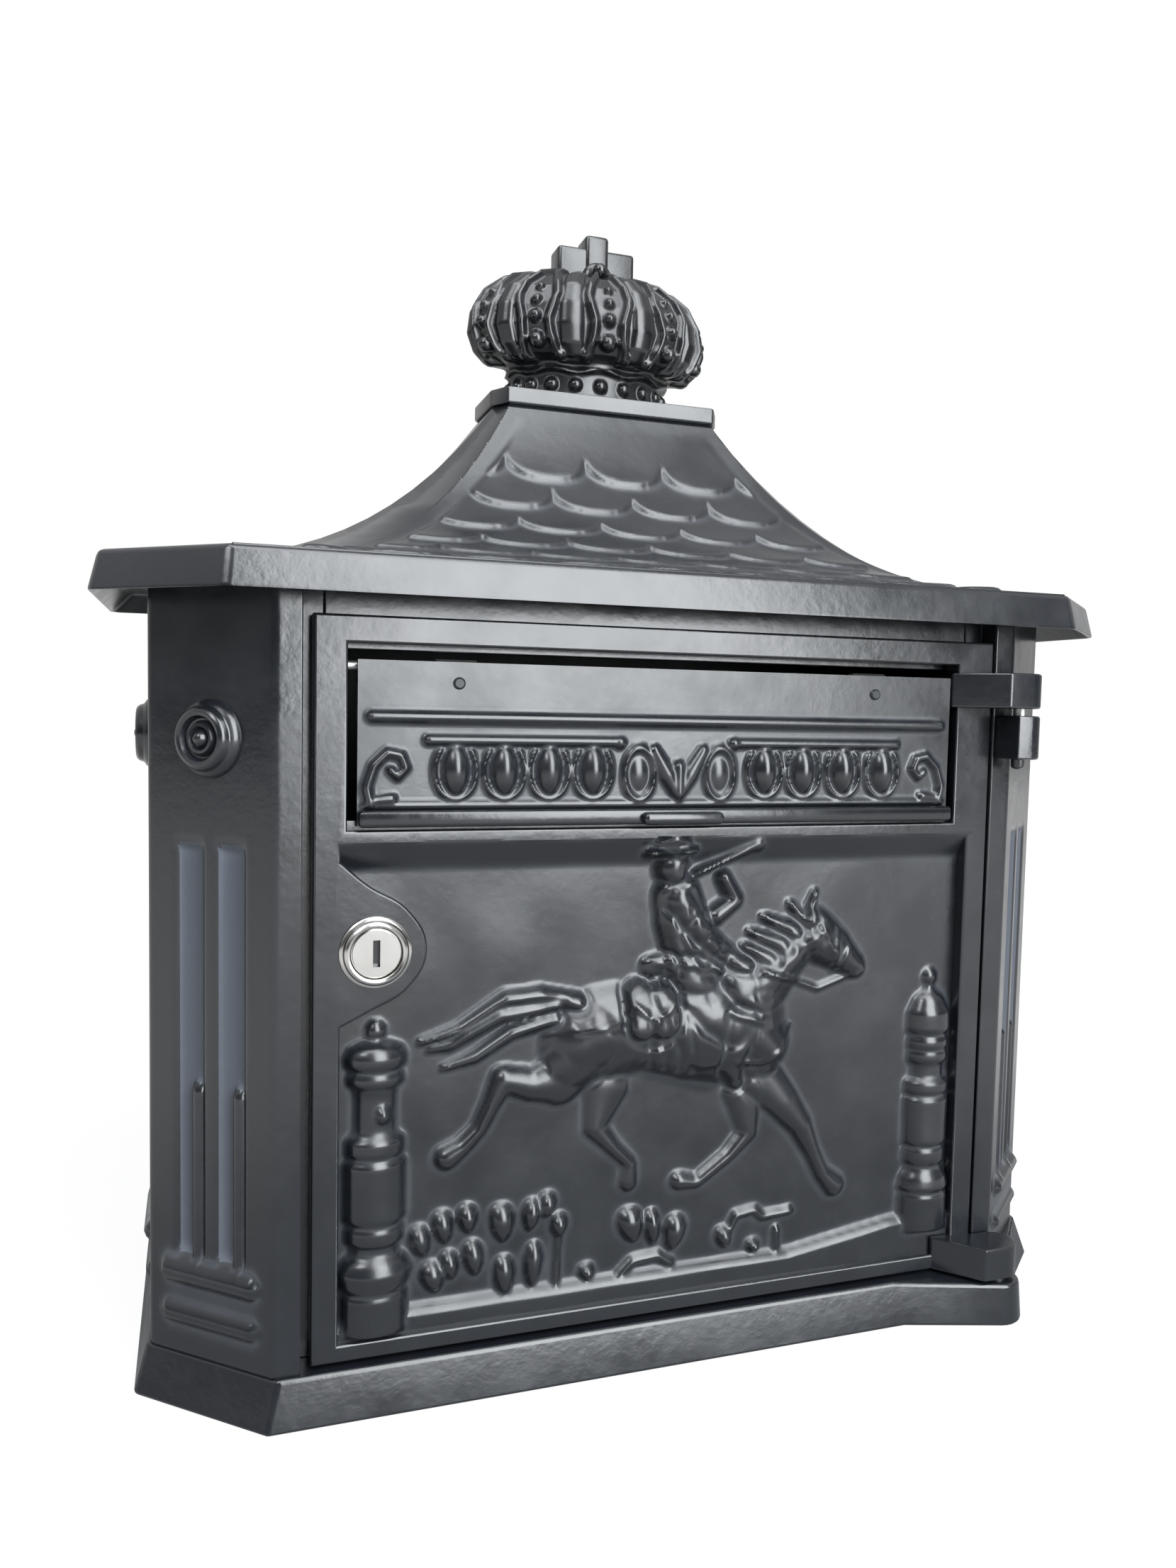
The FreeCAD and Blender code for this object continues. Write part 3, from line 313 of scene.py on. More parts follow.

# %% [markdown]
# Each finish is a material of its own with a Principled shader in it. The cast paint is semi-gloss. The
# relief and the crown get less of the lighter grey in hollows, dust and painted sheen, than the walls,
# because their hollows are deep and would look dusty. The floors of the flutes are painted a lighter
# grey, a painted reflection of the bright room in the concave channels, and are duller; the sheet at
# the back is smoother, and the metal parts are plated.

# %% Paints and metals
def cast_paint(name, tone, dust_and_sheen, amount, peel, gloss, specular):
    material = bpy.data.materials.new(name)
    material.use_nodes = True
    tree = material.node_tree
    shader = tree.nodes["Principled BSDF"]
    skin = new_node(tree, "Group")
    skin.node_tree = cast_skin
    filled(skin, {"Tone": (*tone, 1), "Dust And Sheen": (*dust_and_sheen, 1), "Dust And Sheen Amount": amount, "Peel": peel,
                  "Gloss": gloss})
    shader.inputs["Specular IOR Level"].default_value = specular
    tree.links.new(skin.outputs["Color"], shader.inputs["Base Color"])
    tree.links.new(skin.outputs["Roughness"], shader.inputs["Roughness"])
    tree.links.new(skin.outputs["Normal"], shader.inputs["Normal"])
    return material


def plated_metal(name, colour, gloss, peel):
    material = cast_paint(name, colour, [c * 0.7 for c in colour], 0.4, peel, gloss, 0.5)
    material.node_tree.nodes["Principled BSDF"].inputs["Metallic"].default_value = 1
    return material


charcoal = (0.008, 0.0095, 0.0125)
# grey of the hollows: partly dust, partly a painted sheen
grey_dust_and_sheen = (0.1, 0.11, 0.13)
wall_paint = cast_paint("cast_paint", charcoal, grey_dust_and_sheen, 0.4, 0.14, 0.22, 0.8)
relief_paint = cast_paint("relief_paint", charcoal, grey_dust_and_sheen, 0.25, 0.1, 0.26, 0.8)
crown_paint = cast_paint("crown_paint", (0.006, 0.007, 0.0085), grey_dust_and_sheen, 0.03, 0.1, 0.24, 0.7)
# flute floors: a lighter grey that paints the reflection of the bright room in the concave channels
flute_painted_reflection = cast_paint("flute_painted_reflection", (0.074, 0.083, 0.101), (0.16, 0.18, 0.21), 0.3, 0.3, 0.42, 0.4)
sheet_paint = cast_paint("sheet_paint", (0.015, 0.016, 0.018), (0.05, 0.05, 0.055), 0.4, 0.05, 0.42, 0.3)
rivet_paint = cast_paint("rivet_paint", (0.02, 0.022, 0.026), grey_dust_and_sheen, 0.4, 0.05, 0.3, 0.4)
zinc = plated_metal("zinc_plate", (0.46, 0.46, 0.45), 0.42, 0.06)
nickel = plated_metal("nickel_plate", (0.6, 0.59, 0.57), 0.18, 0.03)
paints = {"black_paint": wall_paint, "painted_sheet": sheet_paint, "black_rivet": rivet_paint,
          "zinc_steel": zinc, "nickel": nickel}
for part in frame["record"]["subparts"]:
    node = frame["nodes"][part["node"]]
    node.data.materials.clear()
    node.data.materials.append(paints[part["material_slot"]])
print("materials", sorted(material.name for material in bpy.data.materials))

# %% [markdown]
# Every new piece ends in the same way: its mesh is made an object at the origin, gets its paint, soft
# shading with sharp edges and a body to ride on. It could be repeated for each piece, but then one of
# them would be forgotten. Broad flat faces between bevels ask for weighted normals, or their shading
# would bulge.

# %% Finish a piece
def finish_piece(name, mesh_work, material, body, smooth_angle=35, flat_faces=False):
    data = bpy.data.meshes.new(name)
    mesh_work.to_mesh(data)
    mesh_work.free()
    data.materials.append(material)
    for face in data.polygons:
        face.use_smooth = True
    data.set_sharp_from_angle(angle=math.radians(smooth_angle))
    piece = bpy.data.objects.new(name, data)
    bpy.context.scene.collection.objects.link(piece)
    if flat_faces:
        weighing = piece.modifiers.new("flat_faces", "WEIGHTED_NORMAL")
        weighing.keep_sharp = True
    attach(piece, body)
    return piece


def millimetres(piece):
    return [round(c * 1000, 1) for c in piece.dimensions]


# %% [markdown]
# Most of this object is relief, so one tool does most of the work: a fine grid whose points are pushed
# out by a height in millimetres, then given sides and a back so that it is a closed slab. Sculpting by
# hand would give the same surface, but a height that is written down can be corrected by a number. The
# same grid also knows where it is hollow, and keeps that for the paint.

# %% Relief slab
def softened(height, times=1):
    for _ in range(times):
        padded = np.pad(height, 1, mode="edge")
        height = (padded[:-2, 1:-1] + 2 * padded[1:-1, 1:-1] + padded[2:, 1:-1]) / 4
        padded = np.pad(height, 1, mode="edge")
        height = (padded[1:-1, :-2] + 2 * padded[1:-1, 1:-1] + padded[1:-1, 2:]) / 4
    return height


def relief_slab(across, along, cell, height, place, thickness, closed=True):
    cell_u, cell_v = cell if isinstance(cell, tuple) else (cell, cell)
    columns = max(2, round((across[1] - across[0]) / cell_u))
    rows = max(2, round((along[1] - along[0]) / cell_v))
    u = np.linspace(across[0], across[1], columns + 1)
    v = np.linspace(along[0], along[1], rows + 1)
    grid_u, grid_v = np.meshgrid(u, v, indexing="ij")
    out = height(grid_u, grid_v)
    hollow = np.clip((softened(out, 6) - out) / 0.35, 0, 1)
    slab = bmesh.new()
    bmesh.ops.create_grid(slab, x_segments=columns, y_segments=rows, size=1)
    low = min(vertex.co.x for vertex in slab.verts)
    span = max(vertex.co.x for vertex in slab.verts) - low
    mark = slab.verts.layers.float.new("hollow")
    sunk = slab.verts.layers.float.new("sunk")
    knots = {}
    for vertex in slab.verts:
        i = round((vertex.co.x - low) / span * columns)
        j = round((vertex.co.y - low) / span * rows)
        vertex[mark] = hollow[i, j]
        vertex[sunk] = out[i, j]
        vertex.co = place(u[i], v[j], out[i, j])
        knots[i, j] = vertex
    if closed and thickness is None:
        across_range, along_range = range(columns + 1), range(rows + 1)
        slab.faces.new([knots[i, 0] for i in across_range])
        slab.faces.new([knots[i, rows] for i in across_range])
        up_left = [knots[0, j] for j in along_range]
        down_right = [knots[columns, j] for j in reversed(along_range)]
        slab.faces.new(up_left + down_right)
    elif closed:
        rim = [edge for edge in slab.edges if edge.is_boundary]
        sides = bmesh.ops.extrude_edge_only(slab, edges=rim)["geom"]
        for vertex in sides:
            if isinstance(vertex, bmesh.types.BMVert):
                vertex.co = vertex.co + thickness
                vertex[mark] = 0
        back = [edge for edge in slab.edges if edge.is_boundary]
        bmesh.ops.holes_fill(slab, edges=back, sides=0)
    bmesh.ops.recalc_face_normals(slab, faces=slab.faces)
    return slab


print("a spike of 1 mm softens to", float(softened(np.eye(1, 5, 2))[0, 2]), "mm")

# %% [markdown]
# A figure in relief is built from limbs: a chain of stations, each with a place, a radius and a height,
# joined by round swellings. A limb that lies on another is carved: a groove is cut round it first, so
# that an arm stands out from a coat as it does when a carver sets it in.

# %% Limbs
def limb(x, z, stations, power=0.6):
    out = np.zeros_like(x)
    for (x0, z0, r0, h0), (x1, z1, r1, h1) in zip(stations, stations[1:]):
        dx, dz = x1 - x0, z1 - z0
        share = np.clip(((x - x0) * dx + (z - z0) * dz) / (dx * dx + dz * dz + 1e-9), 0, 1)
        away = np.hypot(x - x0 - share * dx, z - z0 - share * dz)
        radius = r0 + (r1 - r0) * share
        swell = np.clip(1 - (away / radius) ** 2, 0, None)
        out = np.maximum(out, (h0 + (h1 - h0) * share) * swell ** power)
    return out


def carved(x, z, under, stations, power=0.55, keep=0.6, groove=0.9):
    over = limb(x, z, stations, power)
    around = limb(x, z, [(px, pz, radius + 1.5, 1) for px, pz, radius, _ in stations], 0.4)
    lowered = np.maximum(under - groove * around, 0)
    return np.where(over > 0, np.maximum(lowered, keep * lowered + over), lowered)


def laid(under, over):
    return np.where(over > 0, under + over, under)


def cord_line(x, z, points, radius, height):
    return limb(x, z, [(px, pz, radius, height) for px, pz in points])


probe = limb(np.array([0.0]), np.array([0.0]), [(0, 0, 2, 3), (4, 0, 2, 3)])
print("limb of two stations", round(float(probe[0]), 2))

# %% [markdown]
# The horse is the main figure of the door. It could be sculpted by hand, but stations are easy to move
# when a leg sits wrong. Each station gives a place across and up, a radius and a height, all in
# millimetres.

# %% Stations of the horse
far_hind = [(-26, 104, 9, 2.4), (-30, 90, 4.4, 2.4), (-23, 82, 3.0, 2.2), (-16, 75, 2.5, 2.0),
            (-16.5, 68, 3.6, 2.2)]
far_fore = [(29, 98, 8, 2.4), (32, 82, 4.0, 2.4), (24, 74, 3.0, 2.2), (11, 65, 2.6, 2.0),
            (4, 66, 3.6, 2.2)]
barrel = [(-36, 122, 16, 5.6), (-28, 124, 18.5, 6.4), (-12, 127, 17.5, 6.0), (8, 125, 21, 6.6),
          (24, 124, 23, 6.8), (36, 117, 13, 5.6)]
neck = [(28, 136, 18, 6.2), (45, 152, 12, 5.6), (56, 160, 9.5, 5.0)]
horse_head = [(57, 158, 10, 4.4), (66, 152, 8.2, 4.2), (75, 145, 5, 3.6), (76.5, 143.5, 4.2, 3.4)]
muscles = [[(-35, 125, 12, 1.5), (-40, 114, 9, 1.1)], [(33, 129, 10, 1.4), (38, 113, 8, 1.5)],
           [(34, 141, 6, 0.9), (53, 157, 5, 0.9)], [(60, 150.5, 5.5, 1.1), (61, 151, 5.5, 1.1)],
           [(14, 108, 9, 0.8), (-8, 113, 7, 0.6)]]
near_hind = [(-38, 116, 12, 2.6), (-44, 109, 9.5, 3.4), (-54, 108, 6.2, 3.4), (-64.5, 111, 4.8, 3.4),
             (-69, 102, 3.4, 3.0), (-73, 94, 3.0, 2.8), (-79, 88, 3.4, 2.8), (-84.5, 84.5, 4.6, 3.0)]
near_fore = [(36, 104, 9, 2.6), (46, 93, 7, 3.4), (54, 83, 5.0, 3.4), (60, 71, 3.2, 2.8),
             (64, 63, 3.2, 2.8), (70, 57, 4.6, 3.0)]
tail = [[(-38, 137, 3.6, 3.2), (-52, 140, 3.6, 3.2), (-64, 139.5, 3.2, 3.0), (-80, 129.5, 2.6, 2.6),
         (-94, 126, 1.2, 1.6)],
        [(-46, 136, 3.0, 2.8), (-66, 134, 3.0, 2.8), (-84, 124.5, 2.2, 2.2), (-91, 123.3, 1.2, 1.4)],
        [(-46, 131.5, 2.8, 2.6), (-62, 127.5, 2.8, 2.6), (-75, 119.5, 2.2, 2.2), (-86, 116.3, 1.0, 1.4)]]
mane = [[(53, 163, 3.4, 2.6), (47, 169.5, 1.4, 2.4)], [(47, 160, 3.6, 2.6), (36, 165, 1.4, 2.2)],
        [(41, 155, 3.6, 2.4), (30.5, 159.5, 1.4, 2.2)], [(36, 150, 3.4, 2.2), (28, 154, 1.6, 2.2)],
        [(54, 164, 2.8, 2.4), (57.5, 173.5, 1.3, 2.6)]]
harness = [([(75, 141), (60, 136), (33, 146)], 1.0, 1.3), ([(66, 161), (63, 146)], 0.9, 0.9),
           ([(71, 153), (66, 143)], 0.9, 0.9), ([(54, 168), (66, 146)], 0.8, 0.8),
           ([(48, 122), (33, 110), (22, 112)], 1.2, 0.9), ([(-21, 131), (-40, 128)], 1.0, 0.6)]
horse_eye = [(63.5, 156.5, 1.3, 0.8), (64, 156.3, 1.3, 0.8)]
print("horse", len(tail), "strands of tail,", len(mane), "locks of mane,", len(harness), "straps")

# %% [markdown]
# The far legs come first and stay low, then barrel, neck and head, then the near legs, the tail, the
# mane and the harness. A carver works from the back to the front in the same order, because what lies
# in front is cut in last. Muscles are small swellings laid on the body, and shallow cords taken off it
# mark the ribs.

# %% Horse
def horse_body(x, z):
    body = np.maximum.reduce([limb(x, z, far_hind), limb(x, z, far_fore), limb(x, z, barrel, 1.0),
                              limb(x, z, neck, 0.9)])
    body = carved(x, z, body, horse_head, 0.5, 0.3)
    for muscle in muscles:
        body = laid(body, limb(x, z, muscle, 1.0))
    for step in range(4):
        rib = cord_line(x, z, [(-13 + 5 * step, 133 - step), (-10 + 5.4 * step, 112 - step)], 1.6, 0.45)
        body = np.maximum(body - rib, 0)
    return body


def horse(x, z):
    body = horse_body(x, z)
    for leg in (near_hind, near_fore):
        body = carved(x, z, body, leg, 0.5, 0.5, 0.6)
    for strand in tail:
        body = carved(x, z, body, strand, 0.55, 0.2, 0.7)
    for lock in mane:
        body = carved(x, z, body, lock, 0.55, 0.7, 0.8)
    straps = np.maximum.reduce([cord_line(x, z, *strap) for strap in harness])
    return laid(laid(body, straps), limb(x, z, horse_eye))


print("horse stands", round(float(horse(np.array([0.0]), np.array([126.0]))[0]), 2), "mm proud")

# %% [markdown]
# The rider sits on the barrel: coat, belt, sleeves, boot, a round hat, a raised horn, a rolled blanket
# and a bag. The head is small and plain, with the simple features of any carved figure. Each part could
# be a mesh of its own, but as heights they melt into one skin, as cast metal does.

# %% Stations of the rider
saddle_cloth = [(-1, 140, 10, 0.8), (10, 118, 8, 0.8), (22, 120, 8, 0.8), (20, 142, 9, 0.8)]
raised_arm = [(12, 164, 4.2, 3.6), (23.5, 172, 3.4, 3.4), (18.5, 180.5, 3.0, 3.4)]
horn = [(7, 182.3, 1.4, 3.0), (20, 188, 1.8, 3.4), (28, 192, 2.8, 3.8), (31, 193.4, 4.2, 4.0)]
coat = [(0, 174, 9.5, 5.0), (2, 166, 10.5, 5.6), (5, 156, 10.5, 5.6), (8, 148, 12, 4.6)]
coat_folds = [(-6, -2), (-2, 2.5), (3, 7)]
plain_head = [(-3, 184.6, 6.4, 5.4), (-2.6, 187.4, 6.4, 5.4)]
plain_features = [(3.0, 186.6, 1.2, 1.1), (4.2, 185.4, 1.4, 1.3)]
hat = [(-8.5, 193.8, 3.2, 5.6), (-3.5, 195.6, 3.8, 6.2), (1.5, 193.8, 3.2, 5.6)]
brim = [(-12.5, 190.7, 1.7, 6.0), (5.5, 191.5, 1.7, 6.0)]
coat_collar = [(-6.5, 178, 1.9, 1.2), (3, 178.5, 1.9, 1.2)]
sleeve = [(-0.5, 173, 5.6, 3.0), (7, 163, 5.0, 3.2), (15, 156, 4.4, 3.0), (24, 149, 3.6, 3.0),
          (27, 148, 3.2, 2.8)]
sleeve_creases = [(5, 167), (11, 160), (17, 154.5)]
belt = [(-3, 151, 1.7, 0.9), (16, 147, 1.7, 0.9)]
thigh = [(4, 144, 9, 2.8), (14, 131, 8.4, 3.0), (20, 126, 7.4, 2.8)]
boot = [(24, 127, 6.6, 2.6), (23, 118, 5.6, 2.8), (21.5, 110, 4.8, 3.0), (25, 103.5, 3.6, 3.0)]
boot_cuff = [(20, 131.5, 1.7, 1.1), (31, 127.5, 1.7, 1.1)]
blanket = [(-9, 147.5, 5, 3.0), (-5, 148.5, 5, 3.0)]
bag_cores = [[(-15, 139, 5.5, 2.4), (-15, 129, 5.5, 2.4)], [(-7, 138, 5.5, 2.4), (-7, 129, 5.5, 2.4)],
             [(-16, 134, 5, 2.4), (-6, 134, 5, 2.4)]]
round_bag = [(-11, 138, 12, 1), (-11, 130, 12, 1)]
bag_flap = [(-20, 137.5), (-11, 130.5), (-2, 138)]
clasp = [(-11, 131, 1.7, 1.2), (-11, 128.5, 1.7, 1.2)]
print("coat", len(coat), "stations,", len(coat_folds), "folds")

# %% [markdown]
# The upper figure is carved first and the near arm, leg, blanket and bag are set over it. The groove
# round each part keeps it apart from what lies behind. Simply adding all heights would be shorter, but
# the parts would blur.

# %% Rider
def upper_figure(x, z, under):
    out = laid(under, limb(x, z, saddle_cloth, 0.2))
    out = carved(x, z, out, raised_arm, 0.5, 0.3)
    out = carved(x, z, out, horn, 0.5, 0.2)
    out = carved(x, z, out, coat, 0.45, 0.3)
    for x0, x1 in coat_folds:
        fold = cord_line(x, z, [(x0, 170), (x0 + 1, 160), (x1 + 2, 148)], 1.4, 0.6)
        out = np.maximum(out - fold, 0)
    out = carved(x, z, out, plain_head, 0.5, 0.2)
    out = laid(out, limb(x, z, plain_features))
    out = carved(x, z, out, hat, 0.45, 0.2)
    out = carved(x, z, out, brim, 0.45, 0.3)
    return laid(out, limb(x, z, coat_collar))


def rider(x, z, under):
    out = upper_figure(x, z, under)
    out = carved(x, z, out, sleeve, 0.5, 0.75, 1.2)
    for x0, z0 in sleeve_creases:
        crease = cord_line(x, z, [(x0 - 3, z0 - 2.5), (x0 + 2.5, z0 + 2.5)], 0.9, 0.5)
        out = np.maximum(out - crease, 0)
    out = laid(out, limb(x, z, belt, 0.5))
    out = carved(x, z, out, thigh, 0.5, 0.75, 1.1)
    out = carved(x, z, out, boot, 0.5, 0.75, 1.1)
    out = laid(out, limb(x, z, boot_cuff, 0.5))
    out = carved(x, z, out, blanket, 0.45, 0.7, 1.0)
    bag = np.maximum.reduce([limb(x, z, core, 0.2) for core in bag_cores])
    out = np.maximum(out - 1.1 * limb(x, z, round_bag, 0.3) * (bag <= 0), 0)
    out = laid(out, bag)
    out = laid(out, cord_line(x, z, bag_flap, 1.0, 0.9))
    return laid(out, limb(x, z, clasp))


seat = np.array([5.0]), np.array([160.0])
print("rider stands", round(float(rider(*seat, horse(*seat))[0]), 2), "mm proud")

# %% [markdown]
# Two bollards frame the picture. They are turned shapes seen half out of the ground, so their height at
# any place is a circle's: the radius of the turning at that level, flattened a little as carvers do.
# They could be spun and sunk into the panel, but as heights they join the other figures in one skin.

# %% Bollards, ground and plants
def turned_relief(x, z, middle, stations, flatten):
    level = [station[0] for station in stations]
    radius = np.interp(z, level, [station[1] for station in stations], left=0, right=0)
    return flatten * np.sqrt(np.clip(radius ** 2 - (x - middle) ** 2, 0, None))


left_bollard = [(26, 11.5), (40, 11.5), (40.6, 10), (43, 12), (48, 13), (52, 11), (54, 8), (57, 8),
                (58.5, 10), (63, 10), (64.5, 8.5), (66, 10.5), (86, 10.5), (88, 8.5), (89, 10), (94, 10),
                (95.5, 7.5), (97, 7), (109, 7), (112, 7.6), (113.5, 9.5), (116.5, 9.5), (118, 8),
                (119.5, 10.2), (123, 10.5), (126, 8.8), (127.5, 5), (128, 2.4), (129.5, 3.4), (132, 3.6),
                (134.5, 2), (135.3, 0)]
right_bollard = [(35, 11), (50, 11), (51, 9.5), (52.5, 11.5), (57, 10.5), (60, 8.5), (62, 8), (63.5, 9.5),
                 (68.5, 9.5), (69.8, 8), (71, 10), (89, 10), (90.5, 8), (91.5, 9.6), (96, 9.6), (97.5, 7),
                 (103, 7), (104.5, 9), (108, 9), (109, 8), (110, 9.2), (113, 9.2), (115, 8), (117, 9.8),
                 (124, 9.6), (130, 6.5), (132.5, 3), (134.5, 2), (136.5, 3.2), (139, 3.2), (141, 1.6),
                 (141.8, 0)]
drops = [(-93.5, 55.5, 7.5, 11.5, 12), (-85.5, 59.5, 7.5, 12, 8), (-76.8, 61.5, 7, 10.5, 5),
         (-64.3, 58.5, 9, 14.5, 4), (-53.5, 60, 6.5, 12, -8), (-47.5, 63, 6.5, 9.5, -10),
         (-43, 55, 6.5, 9, 0), (-89, 42, 8.5, 11.5, 16), (-83, 45.5, 6.5, 10.5, 10),
         (-74.5, 47, 7.5, 13, 8), (-63.2, 39, 8, 15, 2), (-52.5, 41.5, 7, 17, -4), (-32, 36, 6, 6, 0),
         (-15, 51.5, 10, 14, 14), (-6.5, 49.5, 6.5, 14, 4), (2.5, 46.5, 8.5, 14, -14),
         (23, 42, 6.5, 9, 20), (35.5, 37, 5, 5, 0)]


def bollards(x, z):
    left = turned_relief(x, z, -109.5, left_bollard, 0.72)
    right = turned_relief(x, z, 111.0, right_bollard, 0.72)
    ball = limb(x, z, [(-107.5, 102.5, 3.2, 7.6), (-107.5, 103.5, 3.2, 7.6)], 0.4)
    return np.maximum(np.maximum(left, right), ball)


def ground(x, z):
    top = np.interp(x, [-130, -98, 50, 95, 108, 130], [30, 33, 34, 41, 42, 42])
    bank = np.clip((top - z) / 2.4, 0, 1)
    return 3.4 * bank ** 0.6


def plants(x, z):
    out = np.zeros_like(x)
    for cx, cz, width, tall, lean in drops:
        turn = math.radians(lean)
        across = ((x - cx) * math.cos(turn) + (z - cz) * math.sin(turn)) / (width / 2)
        along = ((z - cz) * math.cos(turn) - (x - cx) * math.sin(turn)) / (tall / 2)
        across = across / (1 + 0.22 * np.clip(along, -1, 1))
        out = np.maximum(out, 4.4 * np.clip(1 - across ** 2 - along ** 2, 0, 1) ** 0.55)
    stems = [cord_line(x, z, [(-43, 52), (-44, 32)], 1.5, 2.0),
             cord_line(x, z, [(-19, 33), (-14, 37.5), (-4, 38.5), (1, 35)], 2.0, 2.2),
             cord_line(x, z, [(25, 44), (28, 50), (36, 51), (39, 48), (51, 49)], 1.8, 2.2),
             cord_line(x, z, [(45.5, 42), (45.5, 35)], 1.6, 2.0)]
    return np.maximum.reduce([out] + stems)


print("plants", len(drops))

# %% [markdown]
# Now the picture panel itself. Its floor lies in a recess of the door, and at the top it runs forward
# in a slope that meets the frame. Everything above is joined by taking the greater height, and one soft
# pass rounds it as paint does. The back of the slab is then laid flat, so that it stays behind the
# front everywhere.

# %% Picture panel
panel_depth = 5.5
slope_low = 185.5
slope_high = 194.8
panel_rim = Vector((0, 0.003, 0))
panel_back_depth = 0.0085
view_shift = (1.1, -0.8)
relief_limit = 18.0


def raised(height):
    return relief_limit * np.tanh(height * (1.3 + 0.06 * height) / relief_limit)


def picture(x, z):
    px, pz = x - view_shift[0], z - view_shift[1]
    figures = raised(rider(px, pz, horse(px, pz)))
    figures = np.maximum.reduce([figures, bollards(px, pz), ground(px, pz), plants(px, pz)])
    uneven = 0.1 * np.sin(x / 6.5 + 2 * np.sin(z / 13)) + 0.1 * np.sin(z / 8 + 2 * np.sin(x / 17))
    slope = np.clip((z - slope_low) / (slope_high - slope_low), 0, 1) * panel_depth
    return softened(np.maximum(figures, slope)) + uneven


def on_panel(x, z, out):
    return at(x, panel_depth - out, z)


panel_work = relief_slab((-124, 126), (21, 196), 0.8, picture, on_panel, panel_rim)
panel_back = max(panel_work.faces, key=lambda face: len(face.verts))
for vertex in panel_back.verts:
    vertex.co.y = front_plane + panel_back_depth
picture_panel = finish_piece("picture_panel", panel_work, relief_paint, "door", 60)
print("picture panel", len(picture_panel.data.polygons), "faces")

# %% [markdown]
# The rest of the door is made of plates and blocks with soft edges. A cube with a cut in it could be a
# plate with windows, but a flat filled curve makes one at once, with rounded rims, and is then turned
# into a mesh and stood upright. Blocks are cubes with a bevel, and one helper adds a shape to another.

# %% Flat plates with windows
def flat_plate(name, outlines, depth, rim):
    curve = bpy.data.curves.new(name, "CURVE")
    curve.dimensions = "2D"
    curve.fill_mode = "BOTH"
    curve.resolution_u = 12
    curve.extrude = depth / 2000 - rim / 1000
    curve.bevel_depth = rim / 1000
    curve.bevel_resolution = 3
    curve.offset = -rim / 1000
    for points in outlines:
        spline = curve.splines.new("BEZIER")
        spline.bezier_points.add(len(points) - 1)
        spline.use_cyclic_u = True
        for knot, (x, z, kind) in zip(spline.bezier_points, points):
            knot.co = (x / 1000, z / 1000, 0)
            knot.handle_left_type = knot.handle_right_type = kind
    holder = bpy.data.objects.new(name, curve)
    bpy.context.scene.collection.objects.link(holder)
    bpy.context.view_layer.update()
    data = bpy.data.meshes.new_from_object(holder.evaluated_get(bpy.context.evaluated_depsgraph_get()))
    bpy.data.objects.remove(holder)
    work = bmesh.new()
    work.from_mesh(data)
    bpy.data.meshes.remove(data)
    bmesh.ops.remove_doubles(work, verts=work.verts, dist=1e-6)
    bmesh.ops.transform(work, matrix=Matrix.Rotation(math.pi / 2, 4, "X"), verts=work.verts)
    bmesh.ops.recalc_face_normals(work, faces=work.faces)
    return work


def soft_edges(work, edges, rim, segments):
    bmesh.ops.bevel(work, geom=edges, offset=rim / 1000, affect="EDGES", segments=segments, profile=0.5,
                    material=-1)


def rounded_block(x0, x1, y0, y1, z0, z1, rim, segments=3):
    work = bmesh.new()
    bmesh.ops.create_cube(work, size=1)
    low, high = at(x0, y0, z0), at(x1, y1, z1)
    bmesh.ops.scale(work, vec=high - low, verts=work.verts)
    bmesh.ops.translate(work, vec=(low + high) / 2, verts=work.verts)
    soft_edges(work, list(work.edges), rim, segments)
    return work


def added(work, other):
    carrier = bpy.data.meshes.new("carrier")
    other.to_mesh(carrier)
    other.free()
    work.from_mesh(carrier)
    bpy.data.meshes.remove(carrier)


def corners(x0, x1, z0, z1):
    return [(x0, z0, "VECTOR"), (x1, z0, "VECTOR"), (x1, z1, "VECTOR"), (x0, z1, "VECTOR")]


print("corners of a square", len(corners(0, 1, 0, 1)))

# %% [markdown]
# The frame of the door is a flat plate with two windows: the recess of the picture, with a swelling
# round the lock, and the letter slot. The swelling could be a disc of its own, but as part of the
# outline it flows into the frame. A small block makes the ledge below the slot.

# %% Door frame
recess = [(-121, 24, "VECTOR"), (123, 24, "VECTOR"), (123, 194.5, "VECTOR"), (-121, 194.5, "VECTOR"),
          (-121, 189, "VECTOR"), (-112, 181.3, "AUTO"), (-98, 172, "AUTO"), (-91.9, 158.6, "AUTO"),
          (-98, 146, "AUTO"), (-112, 137.8, "AUTO"), (-121, 133.4, "VECTOR")]
door_outline = corners(-130, 132.5, 18, 270.5)
letter_slot = corners(-119, 116.5, 199.5, 261.2)
frame_work = flat_plate("door_frame", [door_outline, recess, letter_slot], 9, 1.0)
bmesh.ops.translate(frame_work, vec=at(0, 4.5, 0), verts=frame_work.verts)
added(frame_work, rounded_block(-120, 117.5, 3.9, 8.8, 198, 202.5, 0.6, 2))
door_frame = finish_piece("door_frame", frame_work, wall_paint, "door", flat_faces=True)
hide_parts("door_casting")
print("door frame", millimetres(door_frame))

# %% [markdown]
# The hinge lugs are small blocks with a round end. A few points of the plan are extruded upward and all
# edges are given a soft bevel, which is what the casting shows. A cube and a cylinder could be joined
# instead, but their seam would show.

